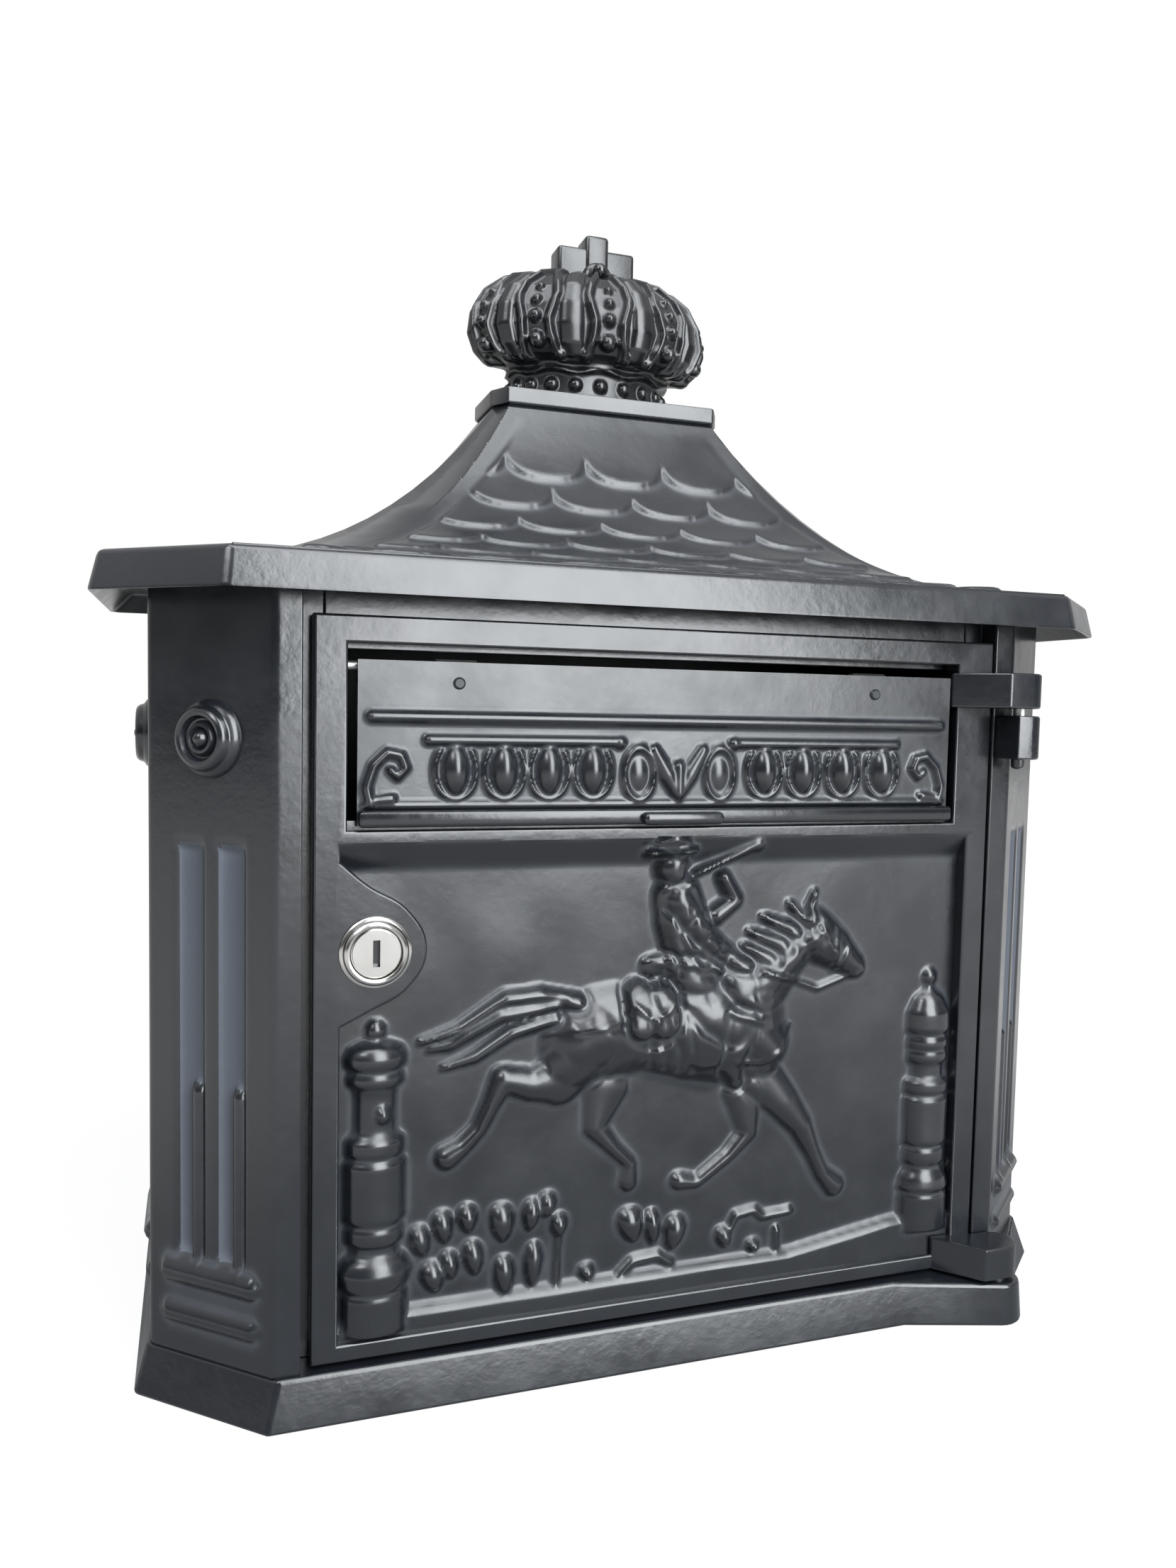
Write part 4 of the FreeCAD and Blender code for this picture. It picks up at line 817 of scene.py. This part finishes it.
# %% Hinge lugs of the door
def plan_block(points, low, high, rim, segments=2):
    work = bmesh.new()
    ring = [work.verts.new(at(x, y, low)) for x, y in points]
    face = work.faces.new(ring)
    grown = bmesh.ops.extrude_face_region(work, geom=[face])["geom"]
    top = [item for item in grown if isinstance(item, bmesh.types.BMVert)]
    bmesh.ops.translate(work, vec=(0, 0, (high - low) / 1000), verts=top)
    bmesh.ops.recalc_face_normals(work, faces=work.faces)
    sharp = [edge for edge in work.edges if edge.calc_face_angle(0) > math.radians(32)]
    soft_edges(work, sharp, rim, segments)
    return work


hinge = (139.5, -8.0)
lug_radius = 7.5


def round_end(start, stop, radius, steps):
    turns = [math.radians(start + (stop - start) * k / steps) for k in range(steps + 1)]
    return [(hinge[0] + radius * math.cos(turn), hinge[1] + radius * math.sin(turn)) for turn in turns]


lug_work = bmesh.new()
for low, high, root in ((244.7, 258.3, 18.5), (18, 31, 18)):
    plan = [(132.5 - root, 2), (132.5 - root, 0.5), (hinge[0] - 10.5, hinge[1] - lug_radius)]
    plan += round_end(-90, 90, lug_radius, 10) + [(132.5, hinge[1] + lug_radius), (132.5, 2)]
    added(lug_work, plan_block(plan, low, high, 0.9))
door_lugs = finish_piece("door_lugs", lug_work, wall_paint, "door", flat_faces=True)
print("lugs", len(door_lugs.data.polygons))

# %% [markdown]
# The letter flap is the second relief: bars, a band of eggs in thin frames, two ovals with a leaf
# between them, and a scroll at each end. The broad strip above is bare. Small meshes could be set on a
# plate, but a height grid gives the soft foot that a cast shape has.

# %% Letter flap
slot_middle = -1.25
eggs = [-83, -66, -50, -34, 33, 49, 66, 83]


def flap_height(x, z):
    out = np.zeros_like(x)
    mid = slot_middle

    def rounded_bar(x0, x1, z0, z1, high):
        half, level = (z1 - z0) / 2, (z0 + z1) / 2
        return limb(x, z, [(x0 + half, level, half, high), (x1 - half, level, half, high)], 0.5)

    out = np.maximum(out, rounded_bar(mid - 112, mid + 112, 235.3, 239.3, 2.4))
    for x0, x1 in ((-94, -22), (19, 91)):
        out = np.maximum(out, rounded_bar(x0, x1, 227.8, 231.6, 2.2))
    for cx in (-24, 20.5):
        out = np.maximum(out, limb(x, z, [(cx, 229.5, 2.4, 2.6), (cx + 0.1, 229.5, 2.4, 2.6)], 0.5))
    out = np.maximum(out, rounded_bar(mid - 113, mid + 113, 206.2, 209.4, 1.6))
    for cx in eggs:
        egg = np.clip(1 - ((x - cx) / 4.9) ** 2 - ((z - 219.4) / 9.2) ** 2, 0, None)
        ring = np.hypot((x - cx) / 7.2, (z - 219.6) / 9.8)
        frame_line = 2.2 * np.exp(-((ring - 1) / 0.1) ** 2) * (z < 226.5)
        out = np.maximum.reduce([out, 4.8 * egg ** 0.65, frame_line])
    for cx in (-16.5, 15):
        oval = np.hypot((x - cx) / 5.6, (z - 218.5) / 9.2)
        oval_line = 2.2 * np.exp(-((oval - 1) / 0.16) ** 2)
        out = np.maximum.reduce([out, oval_line, 1.4 * np.clip(1 - (oval / 0.75) ** 2, 0, 1)])
    leaf = [limb(x, z, [(mid + s * 9.5, 227, 2.2, 2.4), (mid + s * 4.2, 218, 3.4, 3.0),
                        (mid, 209.5, 1.6, 2.4)], 0.6) for s in (-1, 1)]
    leaf.append(limb(x, z, [(mid, 221, 2.6, 3.0), (mid, 211, 2.2, 3.2)], 0.6))
    out = np.maximum.reduce([out] + leaf)
    for s, cx in ((-1, -106), (1, 103)):
        curl = [(cx + s * 5.5, 208), (cx + s * 6.8, 214), (cx + s * 4.5, 221), (cx, 225.5),
                (cx - s * 4.5, 224.5), (cx - s * 6.2, 220.5), (cx - s * 3.5, 217.5),
                (cx - s * 1.2, 219.5)]
        scroll = limb(x, z, [(px, pz, 1.9 - 0.06 * k, 2.5) for k, (px, pz) in enumerate(curl)], 0.6)
        scroll_foot = limb(x, z, [(cx - s * 1.5, 210, 2.0, 2.2), (cx + s * 4.5, 209.5, 1.6, 2.2)], 0.6)
        out = np.maximum.reduce([out, scroll, scroll_foot])
    return softened(out)


def on_flap(x, z, out):
    return at(x, 0.8 - out, z)


flap_rim = Vector((0, 0.0026, 0))
flap_work = relief_slab((-115.8, 113.3), (200.5, 256), 0.6, flap_height, on_flap, flap_rim)
letter_flap = finish_piece("letter_flap_relief", flap_work, relief_paint, "flap", 60)
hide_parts("letter_flap")
print("flap", len(letter_flap.data.polygons), "faces")

# %% [markdown]
# The bars that stand furthest out of the flap, its foot bar and the finger lip, are real bars with
# rounded ends. A relief grid would step at such steep sides, so they are bevelled blocks that are sunk
# into the flap.

# %% Foot bar and finger lip of the flap
bars_work = rounded_block(-115.6, 113.1, -3.8, 2.0, 200.6, 206.2, 1.4)
added(bars_work, rounded_block(slot_middle - 15.5, slot_middle + 15.5, -7.7, 1.5, 200.6, 205.2, 1.8))
flap_bars = finish_piece("flap_bars", bars_work, wall_paint, "flap")
print("flap bars", len(flap_bars.data.polygons))

# %% [markdown]
# The roof is a hollow curve in section: it leaves the eave almost flat and climbs steeply to the
# collar. The plan is the same six-sided outline at every level, so an outline is drawn once at the eave
# and extruded ring by ring, each ring moved to its own corners. A smooth lofted surface could do it,
# but rings of corners keep the hips sharp.

# %% Roof shell
chamfer_run = 38.5
chamfer_depth = 34.0
half_front = 142.0
wall_depth = 121.5
chamfer_length = math.hypot(chamfer_run, chamfer_depth)
chamfer_nx, chamfer_ny = chamfer_depth / chamfer_length, chamfer_run / chamfer_length
eave_low = 275.0
eave_high = 289.6
roof_rise = 76.4
roof_curve = 2.6


def plan_corners(front, chamfer, side):
    front_x = half_front + (chamfer - front * chamfer_ny) / chamfer_nx
    side_x = half_front + chamfer_run + side
    return (front_x, -front), (side_x, ((side_x - half_front) * chamfer_nx - chamfer) / chamfer_ny)


def roof_ring(share):
    (fx, fy), (sx, sy) = plan_corners(12.1, 18.8, 15.7)
    fx, fy = fx + (44.2 - fx) * share, fy + (84.3 - fy) * share
    sx, sy = sx + (49.2 - sx) * share, sy + (92.0 - sy) * share
    return [(-fx, fy), (fx, fy), (sx, sy), (sx, wall_depth), (-sx, wall_depth), (-sx, sy)]


def roof_level(share):
    return eave_high + roof_rise * share ** roof_curve


def lifted_rings(work, rings):
    ring = [work.verts.new(at(x, y, rings[0][1])) for x, y in rings[0][0]]
    foot = work.faces.new(ring)
    loop = list(foot.edges)
    for points, level in rings[1:]:
        grown = bmesh.ops.extrude_edge_only(work, edges=loop)["geom"]
        loop = [item for item in grown if isinstance(item, bmesh.types.BMEdge)]
        fresh = [item for item in grown if isinstance(item, bmesh.types.BMVert)]
        for vertex, (x, y) in zip(fresh, points):
            vertex.co = at(x, y, level)
    bmesh.ops.holes_fill(work, edges=loop, sides=0)
    bmesh.ops.recalc_face_normals(work, faces=work.faces)
    return foot


roof_work = bmesh.new()
(ex, ey), (gx, gy) = plan_corners(15.6, 22.3, 19.2)
eave_ring = [(-ex, ey), (ex, ey), (gx, gy), (gx, wall_depth), (-gx, wall_depth), (-gx, gy)]
levels = [(eave_ring, eave_low), (roof_ring(0), eave_high)]
levels += [(roof_ring(k / 16), roof_level(k / 16)) for k in range(1, 17)]
foot = lifted_rings(roof_work, levels)
print("roof shell", len(roof_work.faces), "faces, top at", round(max(v.co.z for v in roof_work.verts), 4))

# %% [markdown]
# The underside of the roof is hollow behind its rim: the flat foot is inset and pushed up. Then the
# edges of the eave are rounded. The hips above stay as they are, because the rows of extruded rings
# already carry the curve.

# %% Hollow underside, rounded eave, collar
roof_wall = 0.0085
bmesh.ops.inset_region(roof_work, faces=[foot], thickness=roof_wall, use_even_offset=True)
bmesh.ops.translate(roof_work, vec=(0, 0, roof_wall), verts=foot.verts)
eave_top = at(0, 0, eave_high).z


def on_eave(edge):
    below = max(v.co.z for v in edge.verts) < eave_top + 1e-5
    bent = edge.calc_face_angle(0) > math.radians(20)
    outside = min((v.co - at(0, 60, v.co.z * 1000)).length for v in edge.verts) > 0.12
    return below and bent and outside


eave_edges = [edge for edge in roof_work.edges if on_eave(edge)]
soft_edges(roof_work, eave_edges, 2.2, 3)
collar_plan = [(-46, 82.5), (46, 82.5), (51, 92), (51, wall_depth), (-51, wall_depth), (-51, 92)]
added(roof_work, plan_block(collar_plan, 365.5, 372.4, 1.1))
added(roof_work, rounded_block(-125.8, 125.8, 9.8, 12.8, 259.5, 285, 0.6, 2))
roof_shell = finish_piece("roof_shell", roof_work, wall_paint, "box", 30, flat_faces=True)
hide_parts("roof_casting")
print("roof shell", millimetres(roof_shell))

# %% [markdown]
# Round-ended tiles cover the front of the roof. Each course lies over the next one below: every tile is
# a little pillow that is thickest at its round lower edge. The grid is drawn straight across and cut
# along both hips with two planes. Single tiles could be set out with an array, but they would not
# follow the curve or fade into the hips.

# %% Roof tiles
tile_pitch = 33.4
tile_rows = 7
tile_first = 0.785
tile_step = 0.112
tile_round = 0.08
tile_bow = 2.3
tile_thick = 2.6
hip_margin = 7.0


def front_of_roof(share):
    (left, y), _ = roof_ring(share)[:2]
    return -left, y, roof_level(share)


def tiles(x, share):
    out = np.zeros_like(x)
    open_to = np.full_like(x, 2.0)
    for row in range(tile_rows):
        shift = tile_pitch / 2 if row % 2 else 0.0
        across = ((x - shift + tile_pitch / 2) % tile_pitch - tile_pitch / 2) / (tile_pitch / 2)
        bow = 1 - np.clip(1 - np.abs(across) ** tile_bow, 0, 1) ** (1 / tile_bow)
        tip = tile_first - tile_step * row
        lower = tip + tile_round * bow
        inside = (share >= lower) & (share < open_to)
        lip = np.sqrt(np.clip(1 - (1 - np.clip((share - lower) / 0.014, 0, 1)) ** 2, 0, 1))
        slant = tile_thick * np.clip(1 - (share - tip) / (tile_step + 0.8 * tile_round), 0, 1)
        out = np.where(inside, lip * slant, out)
        open_to = np.where(share >= lower, np.minimum(open_to, lower), open_to)
    half_wide = np.interp(share, [0, 1], [front_of_roof(0)[0], front_of_roof(1)[0]])
    edge = np.clip((half_wide - hip_margin - np.abs(x)) / 3.0, 0, 1)
    return softened(out * edge * edge * (3 - 2 * edge))


def on_roof(x, share, out):
    share = min(max(share, 0.0), 1.0)
    _, y, z = front_of_roof(share)
    _, y2, z2 = front_of_roof(min(share + 0.01, 1.01))
    slope = Vector((0, y2 - y, z2 - z)).normalized()
    lift = Vector((0, -slope.z, slope.y)) * (out + 0.15)
    return at(x, y + lift.y, z + lift.z)


def tile_grid(x, row):
    return tiles(x, row / 100)


def tile_place(x, row, out):
    return on_roof(x, row / 100, out)


tile_work = relief_slab((-158, 158), (1, 99.5), 0.75, tile_grid, tile_place, None, closed=False)
(fx, fy), (tx, ty) = roof_ring(0)[1], roof_ring(1)[1]
for side in (-1, 1):
    outward = Vector((side * (ty - fy), fx - tx, 0))
    geometry = list(tile_work.verts) + list(tile_work.edges) + list(tile_work.faces)
    hip = at(side * fx, fy, 300)
    bmesh.ops.bisect_plane(tile_work, geom=geometry, plane_co=hip, plane_no=outward, clear_outer=True)
roof_tiles = finish_piece("roof_tiles", tile_work, relief_paint, "box", 60)
backing = roof_tiles.modifiers.new("backing", "SOLIDIFY")
backing.thickness = 0.002
backing.offset = -1
print("roof tiles", len(roof_tiles.data.polygons))

# %% [markdown]
# The crown is half of a round crown, standing on the collar with its flat back to the wall. It is a
# relief as well, wrapped round an oval: one direction of the grid runs round the oval, the other up the
# belly. Five arches repeat every 36 degrees: a row of pearls between two curving ribs with hooked feet.
# A broad smooth leaf fills each gap. Swept curves could make the arches, but one wrapped relief keeps
# the soft joints of a casting.

# %% Crown
crown_half = 53.0
crown_depth = 31.0
crown_foot = 372.2
crown_mean = 44
profile = [(0.67, 0), (0.68, 3), (0.67, 9), (0.67, 14), (0.7, 17), (0.74, 18.2), (0.87, 20.5),
           (0.95, 24.5), (1.0, 31.5), (0.98, 40), (0.89, 48), (0.75, 53.5), (0.56, 56.3), (0.34, 57.2),
           (0.12, 57.4)]
steps = [math.hypot((b[0] - a[0]) * crown_mean, b[1] - a[1]) for a, b in zip(profile, profile[1:])]
station = np.concatenate([[0], np.cumsum(steps)])
crown_run = float(station[-1])
arch_pitch = 36.0
pearls = [(0, 25, 3.5), (0, 34, 2.7), (0, 41, 2.2), (0, 47, 1.8), (4.8, 26, 1.7), (-4.8, 26, 1.7)]
rib_curve = [(16, 10.0), (21, 9.0), (28, 6.8), (33, 6.4), (38, 8.0), (43, 9.6), (48, 8.6), (52, 6.2),
             (56, 3.6), (58, 2.8)]


def crown_share(run):
    return np.interp(run, station, [p[0] for p in profile])


def crown_level(run):
    return np.interp(run, station, [p[1] for p in profile])


def crown_relief(angle, run):
    share, level = crown_share(run), crown_level(run)
    turn_angle = np.radians(angle)
    oval = np.hypot(crown_half * np.cos(turn_angle), crown_depth * np.sin(turn_angle))
    spread = oval * share * math.pi / 180
    off = (angle + arch_pitch / 2) % arch_pitch - arch_pitch / 2
    away = np.abs(off) * crown_half * math.pi / 180
    rib_at = np.interp(level, [p[0] for p in rib_curve], [p[1] for p in rib_curve])
    rib = 2.8 * np.clip(1 - ((away - rib_at) / 2.3) ** 2, 0, 1) ** 0.65
    half_pitch = arch_pitch / 2 * crown_half * math.pi / 180
    leaf = 1.9 * np.clip(1 - ((half_pitch - away) / 5.4) ** 2, 0, 1) ** 0.5
    out = np.maximum(rib, leaf)
    foot = np.hypot((away - 10.0) * spread, level - 20.0) / 2.6
    out = np.maximum(out, 3.2 * np.clip(1 - foot ** 2, 0, 1) ** 0.5)
    bead_at = np.interp([p[1] for p in pearls], [p[1] for p in profile], station)
    for (aside, _, radius), middle in zip(pearls, bead_at):
        ball = np.clip(1 - ((off * spread - aside) ** 2 + (run - middle) ** 2) / radius ** 2, 0, 1) ** 0.5
        out = np.maximum(out, 1.2 * radius * ball)
    out = out * np.clip((level - 17.5) / 2.5, 0, 1)
    wave = 15.4 + 1.0 * np.cos(np.radians(angle * 10))
    rim = 2.2 * np.exp(-((level - wave) / 1.4) ** 2) + 1.8 * np.exp(-((level - 1.8) / 1.7) ** 2)
    bead_off = ((angle + 9) % 18 - 9) * spread
    bead = np.clip(1 - (bead_off ** 2 + (level - 8.8) ** 2) / 3.0 ** 2, 0, 1) ** 0.5
    band = np.maximum(rim, 2.6 * bead) * (level < 18)
    return softened(np.maximum(out, band))


def on_crown(angle, run, out):
    share, level = crown_share(run), crown_level(run)
    ahead_run = min(run + 0.5, crown_run)
    behind_run = max(run - 0.5, 0)
    rise = crown_level(ahead_run) - crown_level(behind_run)
    swell = crown_mean * (crown_share(ahead_run) - crown_share(behind_run))
    s, c = math.sin(math.radians(angle)), math.cos(math.radians(angle))
    flat = Vector((s / crown_half, -c / crown_depth, 0)).normalized()
    lean = Vector((flat.x * rise, flat.y * rise, -swell)).normalized() * out
    y = min(wall_depth - crown_depth * share * c + lean.y, wall_depth)
    return at(crown_half * share * s + lean.x, y, crown_foot + level + lean.z)


crown_work = relief_slab((-90, 90), (0, crown_run), 0.6, crown_relief, on_crown, None)
print("crown run", round(crown_run, 1), "mm,", len(crown_work.faces), "faces")

# %% [markdown]
# Above the dome stands a plain cross with a pearl in front of a small round hood. Bevelled blocks give
# its soft cast edges, and the hood and the pearl are spheres, the hood pressed flat.

# %% Cross and pearl
added(crown_work, rounded_block(-17.6, 17.6, 109, 121.5, 424, 442.4, 1.6))
added(crown_work, rounded_block(-5.4, 5.4, 108.2, 121.5, 428, 448.0, 1.8))
pearl = (0.0032, 1, at(0, 104.5, 431.5))
hood = (0.0068, 0.45, at(0, 108.3, 429.5))
for radius, flatness, middle in (pearl, hood):
    ball_work = bmesh.new()
    bmesh.ops.create_uvsphere(ball_work, u_segments=24, v_segments=14, radius=radius)
    bmesh.ops.scale(ball_work, vec=(1, flatness, 1), verts=ball_work.verts)
    bmesh.ops.translate(ball_work, vec=middle, verts=ball_work.verts)
    added(crown_work, ball_work)
crown = finish_piece("crown", crown_work, crown_paint, "box", 50)
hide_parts("crown_finial")
print("crown", millimetres(crown))

# %% [markdown]
# Each side of the box is one bent casting: a narrow stile beside the door, a splayed face and a side,
# both with two flutes, reeds, mouldings and a rosette. The relief is drawn on the unrolled sheet and
# then wrapped round the corners. A short moving average of the plan line rounds the corners as a
# pattern maker's fillet does.

# %% Bent side sheets
stile_inner = 133.5
side_half = 180.5
side_back = 119.5
side_low = 16.5
side_high = 283
plan_line = [(stile_inner - 6, 0), (half_front, 0), (side_half, chamfer_depth),
             (side_half, side_back + 6)]
plan_steps = [math.hypot(b[0] - a[0], b[1] - a[1]) for a, b in zip(plan_line, plan_line[1:])]
plan_run = np.concatenate([[-6], -6 + np.cumsum(plan_steps)])
stile_run = half_front - stile_inner
side_run = stile_run + chamfer_length
full_run = side_run + side_back - chamfer_depth
flute_gap = 8.6
flute_half = 6.4
flute_low = 51.0
flute_high = 195.0
flute_deep = 2.5


def smooth_step(value):
    value = np.clip(value, 0, 1)
    return value * value * (3 - 2 * value)


def face_relief(u, z, middle):
    out = np.zeros_like(u)
    for s in (-1, 1):
        across = u - middle - s * flute_gap
        channel = np.sqrt(np.clip(1 - (across / flute_half) ** 2, 0, 1))
        ends = smooth_step((z - flute_low) / 2.0) * smooth_step((flute_high - z) / 3.0)
        out = out - flute_deep * channel * ends
        reed_at = middle + s * flute_gap - 3.0
        reed = limb(u, z, [(reed_at, flute_low - 1, 2.1, 3.2), (reed_at, 110.5, 2.1, 3.2)], 0.5)
        out = np.where(reed > 0, np.maximum(out, reed - flute_deep), out)
    for level, half, proud in ((46.0, 3.4, 3.4), (31.2, 2.9, 3.0)):
        bar = limb(u, z, [(middle - 21.5, level, 0.8, 0.6), (middle - 17, level, half, proud),
                          (middle + 17, level, half, proud), (middle + 21.5, level, 0.8, 0.6)], 0.65)
        out = np.where(bar > 0, np.maximum(out, bar), out)
    return out


chamfer_middle = stile_run + chamfer_length / 2
side_middle = side_run + (side_back - chamfer_depth) / 2


def side_relief(u, z):
    return softened(face_relief(u, z, chamfer_middle) + face_relief(u, z, side_middle))


def plan_place(u):
    window = np.linspace(-0.9, 0.9, 7)
    x = float(np.mean(np.interp(u + window, plan_run, [p[0] for p in plan_line])))
    y = float(np.mean(np.interp(u + window, plan_run, [p[1] for p in plan_line])))
    return x, y


def side_place(side):
    def place(u, z, out):
        (x, y), (x1, y1), (x2, y2) = plan_place(u), plan_place(u - 0.3), plan_place(u + 0.3)
        along = Vector((x2 - x1, y2 - y1)).normalized()
        return at(side * (x + along.y * out), y - along.x * out, z)
    return place


print("side sheet", round(full_run, 1), "mm round")

# %% [markdown]
# The rosettes on the sides are round, with rings and a button in the middle. A pattern maker turns them
# on a lathe, and spin does the same with half of a section. A stack of cylinders could do it, but the
# hollows between the rings would be missing.

# %% Turned rosettes
def turned_piece(profile, centre, axis, steps=40):
    work = bmesh.new()
    ring = [work.verts.new((radius / 1000, 0, height / 1000)) for radius, height in profile]
    edges = [work.edges.new(pair) for pair in zip(ring, ring[1:])]
    bmesh.ops.spin(work, geom=ring + edges, cent=(0, 0, 0), axis=(0, 0, 1), angle=math.tau, steps=steps,
                   use_merge=True)
    bmesh.ops.remove_doubles(work, verts=work.verts, dist=1e-6)
    bmesh.ops.recalc_face_normals(work, faces=work.faces)
    turn_to = Vector((0, 0, 1)).rotation_difference(Vector(axis)).to_matrix()
    bmesh.ops.rotate(work, cent=(0, 0, 0), matrix=turn_to, verts=work.verts)
    bmesh.ops.translate(work, vec=centre, verts=work.verts)
    return work


rosette = [(0, -1), (13.4, -1), (13.4, 1.0), (13.0, 2.4), (12.0, 3.6), (11.2, 4.0), (10.8, 4.6),
           (10.4, 5.8), (9.6, 6.7), (8.6, 7.0), (7.6, 6.6), (7.0, 5.4), (6.6, 4.6), (6.0, 4.4),
           (5.5, 5.2), (4.9, 6.2), (4.0, 6.3), (3.4, 5.4), (3.0, 5.0), (2.6, 6.0), (1.8, 7.2), (0.8, 7.7),
           (0, 7.8)]
print("rosette of", len(rosette), "points")

# %% [markdown]
# The sheet is thin, so a plain inner wall stands behind it, with the return at the door and the stop
# lip. The rosettes are turned pieces. The splayed face on the right has none: it carries the fixed
# hinge lug, with the end of the pin below it. The wall could be the CAD node itself, but a new one can
# keep clear of the thin sheet in front.

# %% Side castings
rosette_level = 229
flute_floor = -0.3
inner_wall = [(133.6, 0.9), (138.4, 0.9), (177.6, 35.3), (177.6, 119.4), (167.5, 119.4), (167.5, 115),
              (176, 115), (176, 36), (137.5, 12.8), (126, 12.8), (126, 9.8), (133.6, 9.8)]
fixed_lug = [(134, 3), (134, -14.6)] + round_end(-90, 20, lug_radius, 8) + [(147, 5)]
pin_end = [(0, -2), (2.6, -2), (2.6, 2.6), (2.2, 3.4), (1.2, 3.9), (0, 4.0)]
for side, name in ((-1, "left"), (1, "right")):
    sheet_work = relief_slab((0, full_run), (side_low, side_high), (0.6, 1.4), side_relief,
                             side_place(side), None, closed=False)
    if side < 0:
        bmesh.ops.reverse_faces(sheet_work, faces=sheet_work.faces)
    depth = sheet_work.verts.layers.float["sunk"]
    for face in sheet_work.faces:
        # flute floors get the lighter flute paint, a painted reflection
        if max(vertex[depth] for vertex in face.verts) < flute_floor:
            face.material_index = 1
    sheet_piece = finish_piece("side_sheet_" + name, sheet_work, wall_paint, "box", 60)
    sheet_piece.data.materials.append(flute_painted_reflection)
    skin = sheet_piece.modifiers.new("skin", "SOLIDIFY")
    skin.thickness = 0.0012
    skin.offset = -1
    wall_work = plan_block([(side * x, y) for x, y in inner_wall], side_low, side_high, 0.3, 1)
    if side < 0:
        on_splay = at(side * (half_front + chamfer_run / 2), chamfer_depth / 2, rosette_level)
        added(wall_work, turned_piece(rosette, on_splay, (side * chamfer_nx, -chamfer_ny, 0)))
    on_side = at(side * side_half, (chamfer_depth + side_back) / 2, rosette_level)
    added(wall_work, turned_piece(rosette, on_side, (side, 0, 0)))
    if side > 0:
        added(wall_work, plan_block(fixed_lug, 225, 242, 0.9))
        added(wall_work, turned_piece(pin_end, at(hinge[0], hinge[1], 225), (0, 0, -1), 24))
    side_wall = finish_piece("side_wall_" + name, wall_work, wall_paint, "box",
                             flat_faces=True)
    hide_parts("side_casting_" + name)
    print(name, len(sheet_piece.data.polygons), len(side_wall.data.polygons))

# %% [markdown]
# The base is a low plinth on the same plan, a little larger all round. On the right it runs out to an
# ear that carries the lower pin. Its walls lean in a little towards the top, as a pattern needs to
# leave the sand, the upper edge is well rounded, and it is hollow below. Booleans could cut it from a
# cube, but a plan of points extruded once keeps the ear and the splay exact.

# %% Base
plinth_edge = 6.5
ear_radius = 10.3
ear_start = 99
(bx, by), (cx, cy) = plan_corners(plinth_edge, plinth_edge, plinth_edge)
away_x, away_y = hinge[0] - ear_start, hinge[1] + plinth_edge
reach = math.hypot(away_x, away_y)
tangent = math.degrees(math.atan2(away_y, away_x) - math.asin(ear_radius / reach)) - 90
ear = round_end(tangent, 0, ear_radius, 8)
ear_side = hinge[0] + ear_radius
edge_y = by + (ear_side - bx) * chamfer_depth / chamfer_run
plinth = [(-bx, by), (ear_start, by)] + ear
plinth += [(ear_side, edge_y), (cx, cy), (cx, wall_depth), (-cx, wall_depth), (-cx, cy)]
base_work = plan_block(plinth, 0, 16.5, 1.5, 3)
draft = 3.6
ear_middle = at(hinge[0], hinge[1], 0)
for vertex in base_work.verts:
    inward = ear_middle - Vector((vertex.co.x, vertex.co.y, ear_middle.z))
    if vertex.co.z > 0.008 and inward.length < 0.0125:
        vertex.co += inward.normalized() * 0.3 * draft / 1000
    elif vertex.co.z > 0.008:
        vertex.co.x -= math.copysign(draft / 1000, vertex.co.x)
        vertex.co.y += draft / 1000 if vertex.co.y < at(0, 60, 0).y else 0
under = min(base_work.faces, key=lambda face: face.calc_center_median().z)
bmesh.ops.inset_region(base_work, faces=[under], thickness=0.006, use_even_offset=True)
bmesh.ops.translate(base_work, vec=(0, 0, 0.0105), verts=under.verts)
added(base_work, rounded_block(-125.8, 125.8, 9.8, 12.8, 15, 26.5, 0.6, 2))
base = finish_piece("base", base_work, wall_paint, "box", flat_faces=True)
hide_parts("base_casting")
print("base", millimetres(base))

# %% [markdown]
# The lock sits in a turned ring of plated metal: a flat flange on the door, a step, a rounded bezel and
# a dark groove round the plug. A closed profile spun once about the axis of the lock gives all of it,
# with the barrel behind.

# %% Lock ring
lock_middle = at(-109.4, 0, 158.6)
barrel_back, barrel_radius, plug_bore = -15, 9.2, 7.96
ring_profile = [(plug_bore, barrel_back), (barrel_radius, barrel_back), (barrel_radius, 0.2), (12.1, 0.2),
                (12.1, 0.8), (11.7, 1.2), (11.1, 1.4), (10.95, 2.2), (10.4, 3.0), (9.6, 3.4), (8.9, 3.2),
                (8.5, 2.6), (8.35, 1.2), (plug_bore, 1.2), (plug_bore, barrel_back)]
ring_work = turned_piece(ring_profile, lock_middle, (0, -1, 0), 56)
lock_ring = finish_piece("lock_ring", ring_work, nickel, "door")
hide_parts("lock_housing")
print("lock ring", millimetres(lock_ring))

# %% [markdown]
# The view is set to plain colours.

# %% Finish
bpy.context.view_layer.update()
view = bpy.context.scene.view_settings
view.view_transform = "Standard"
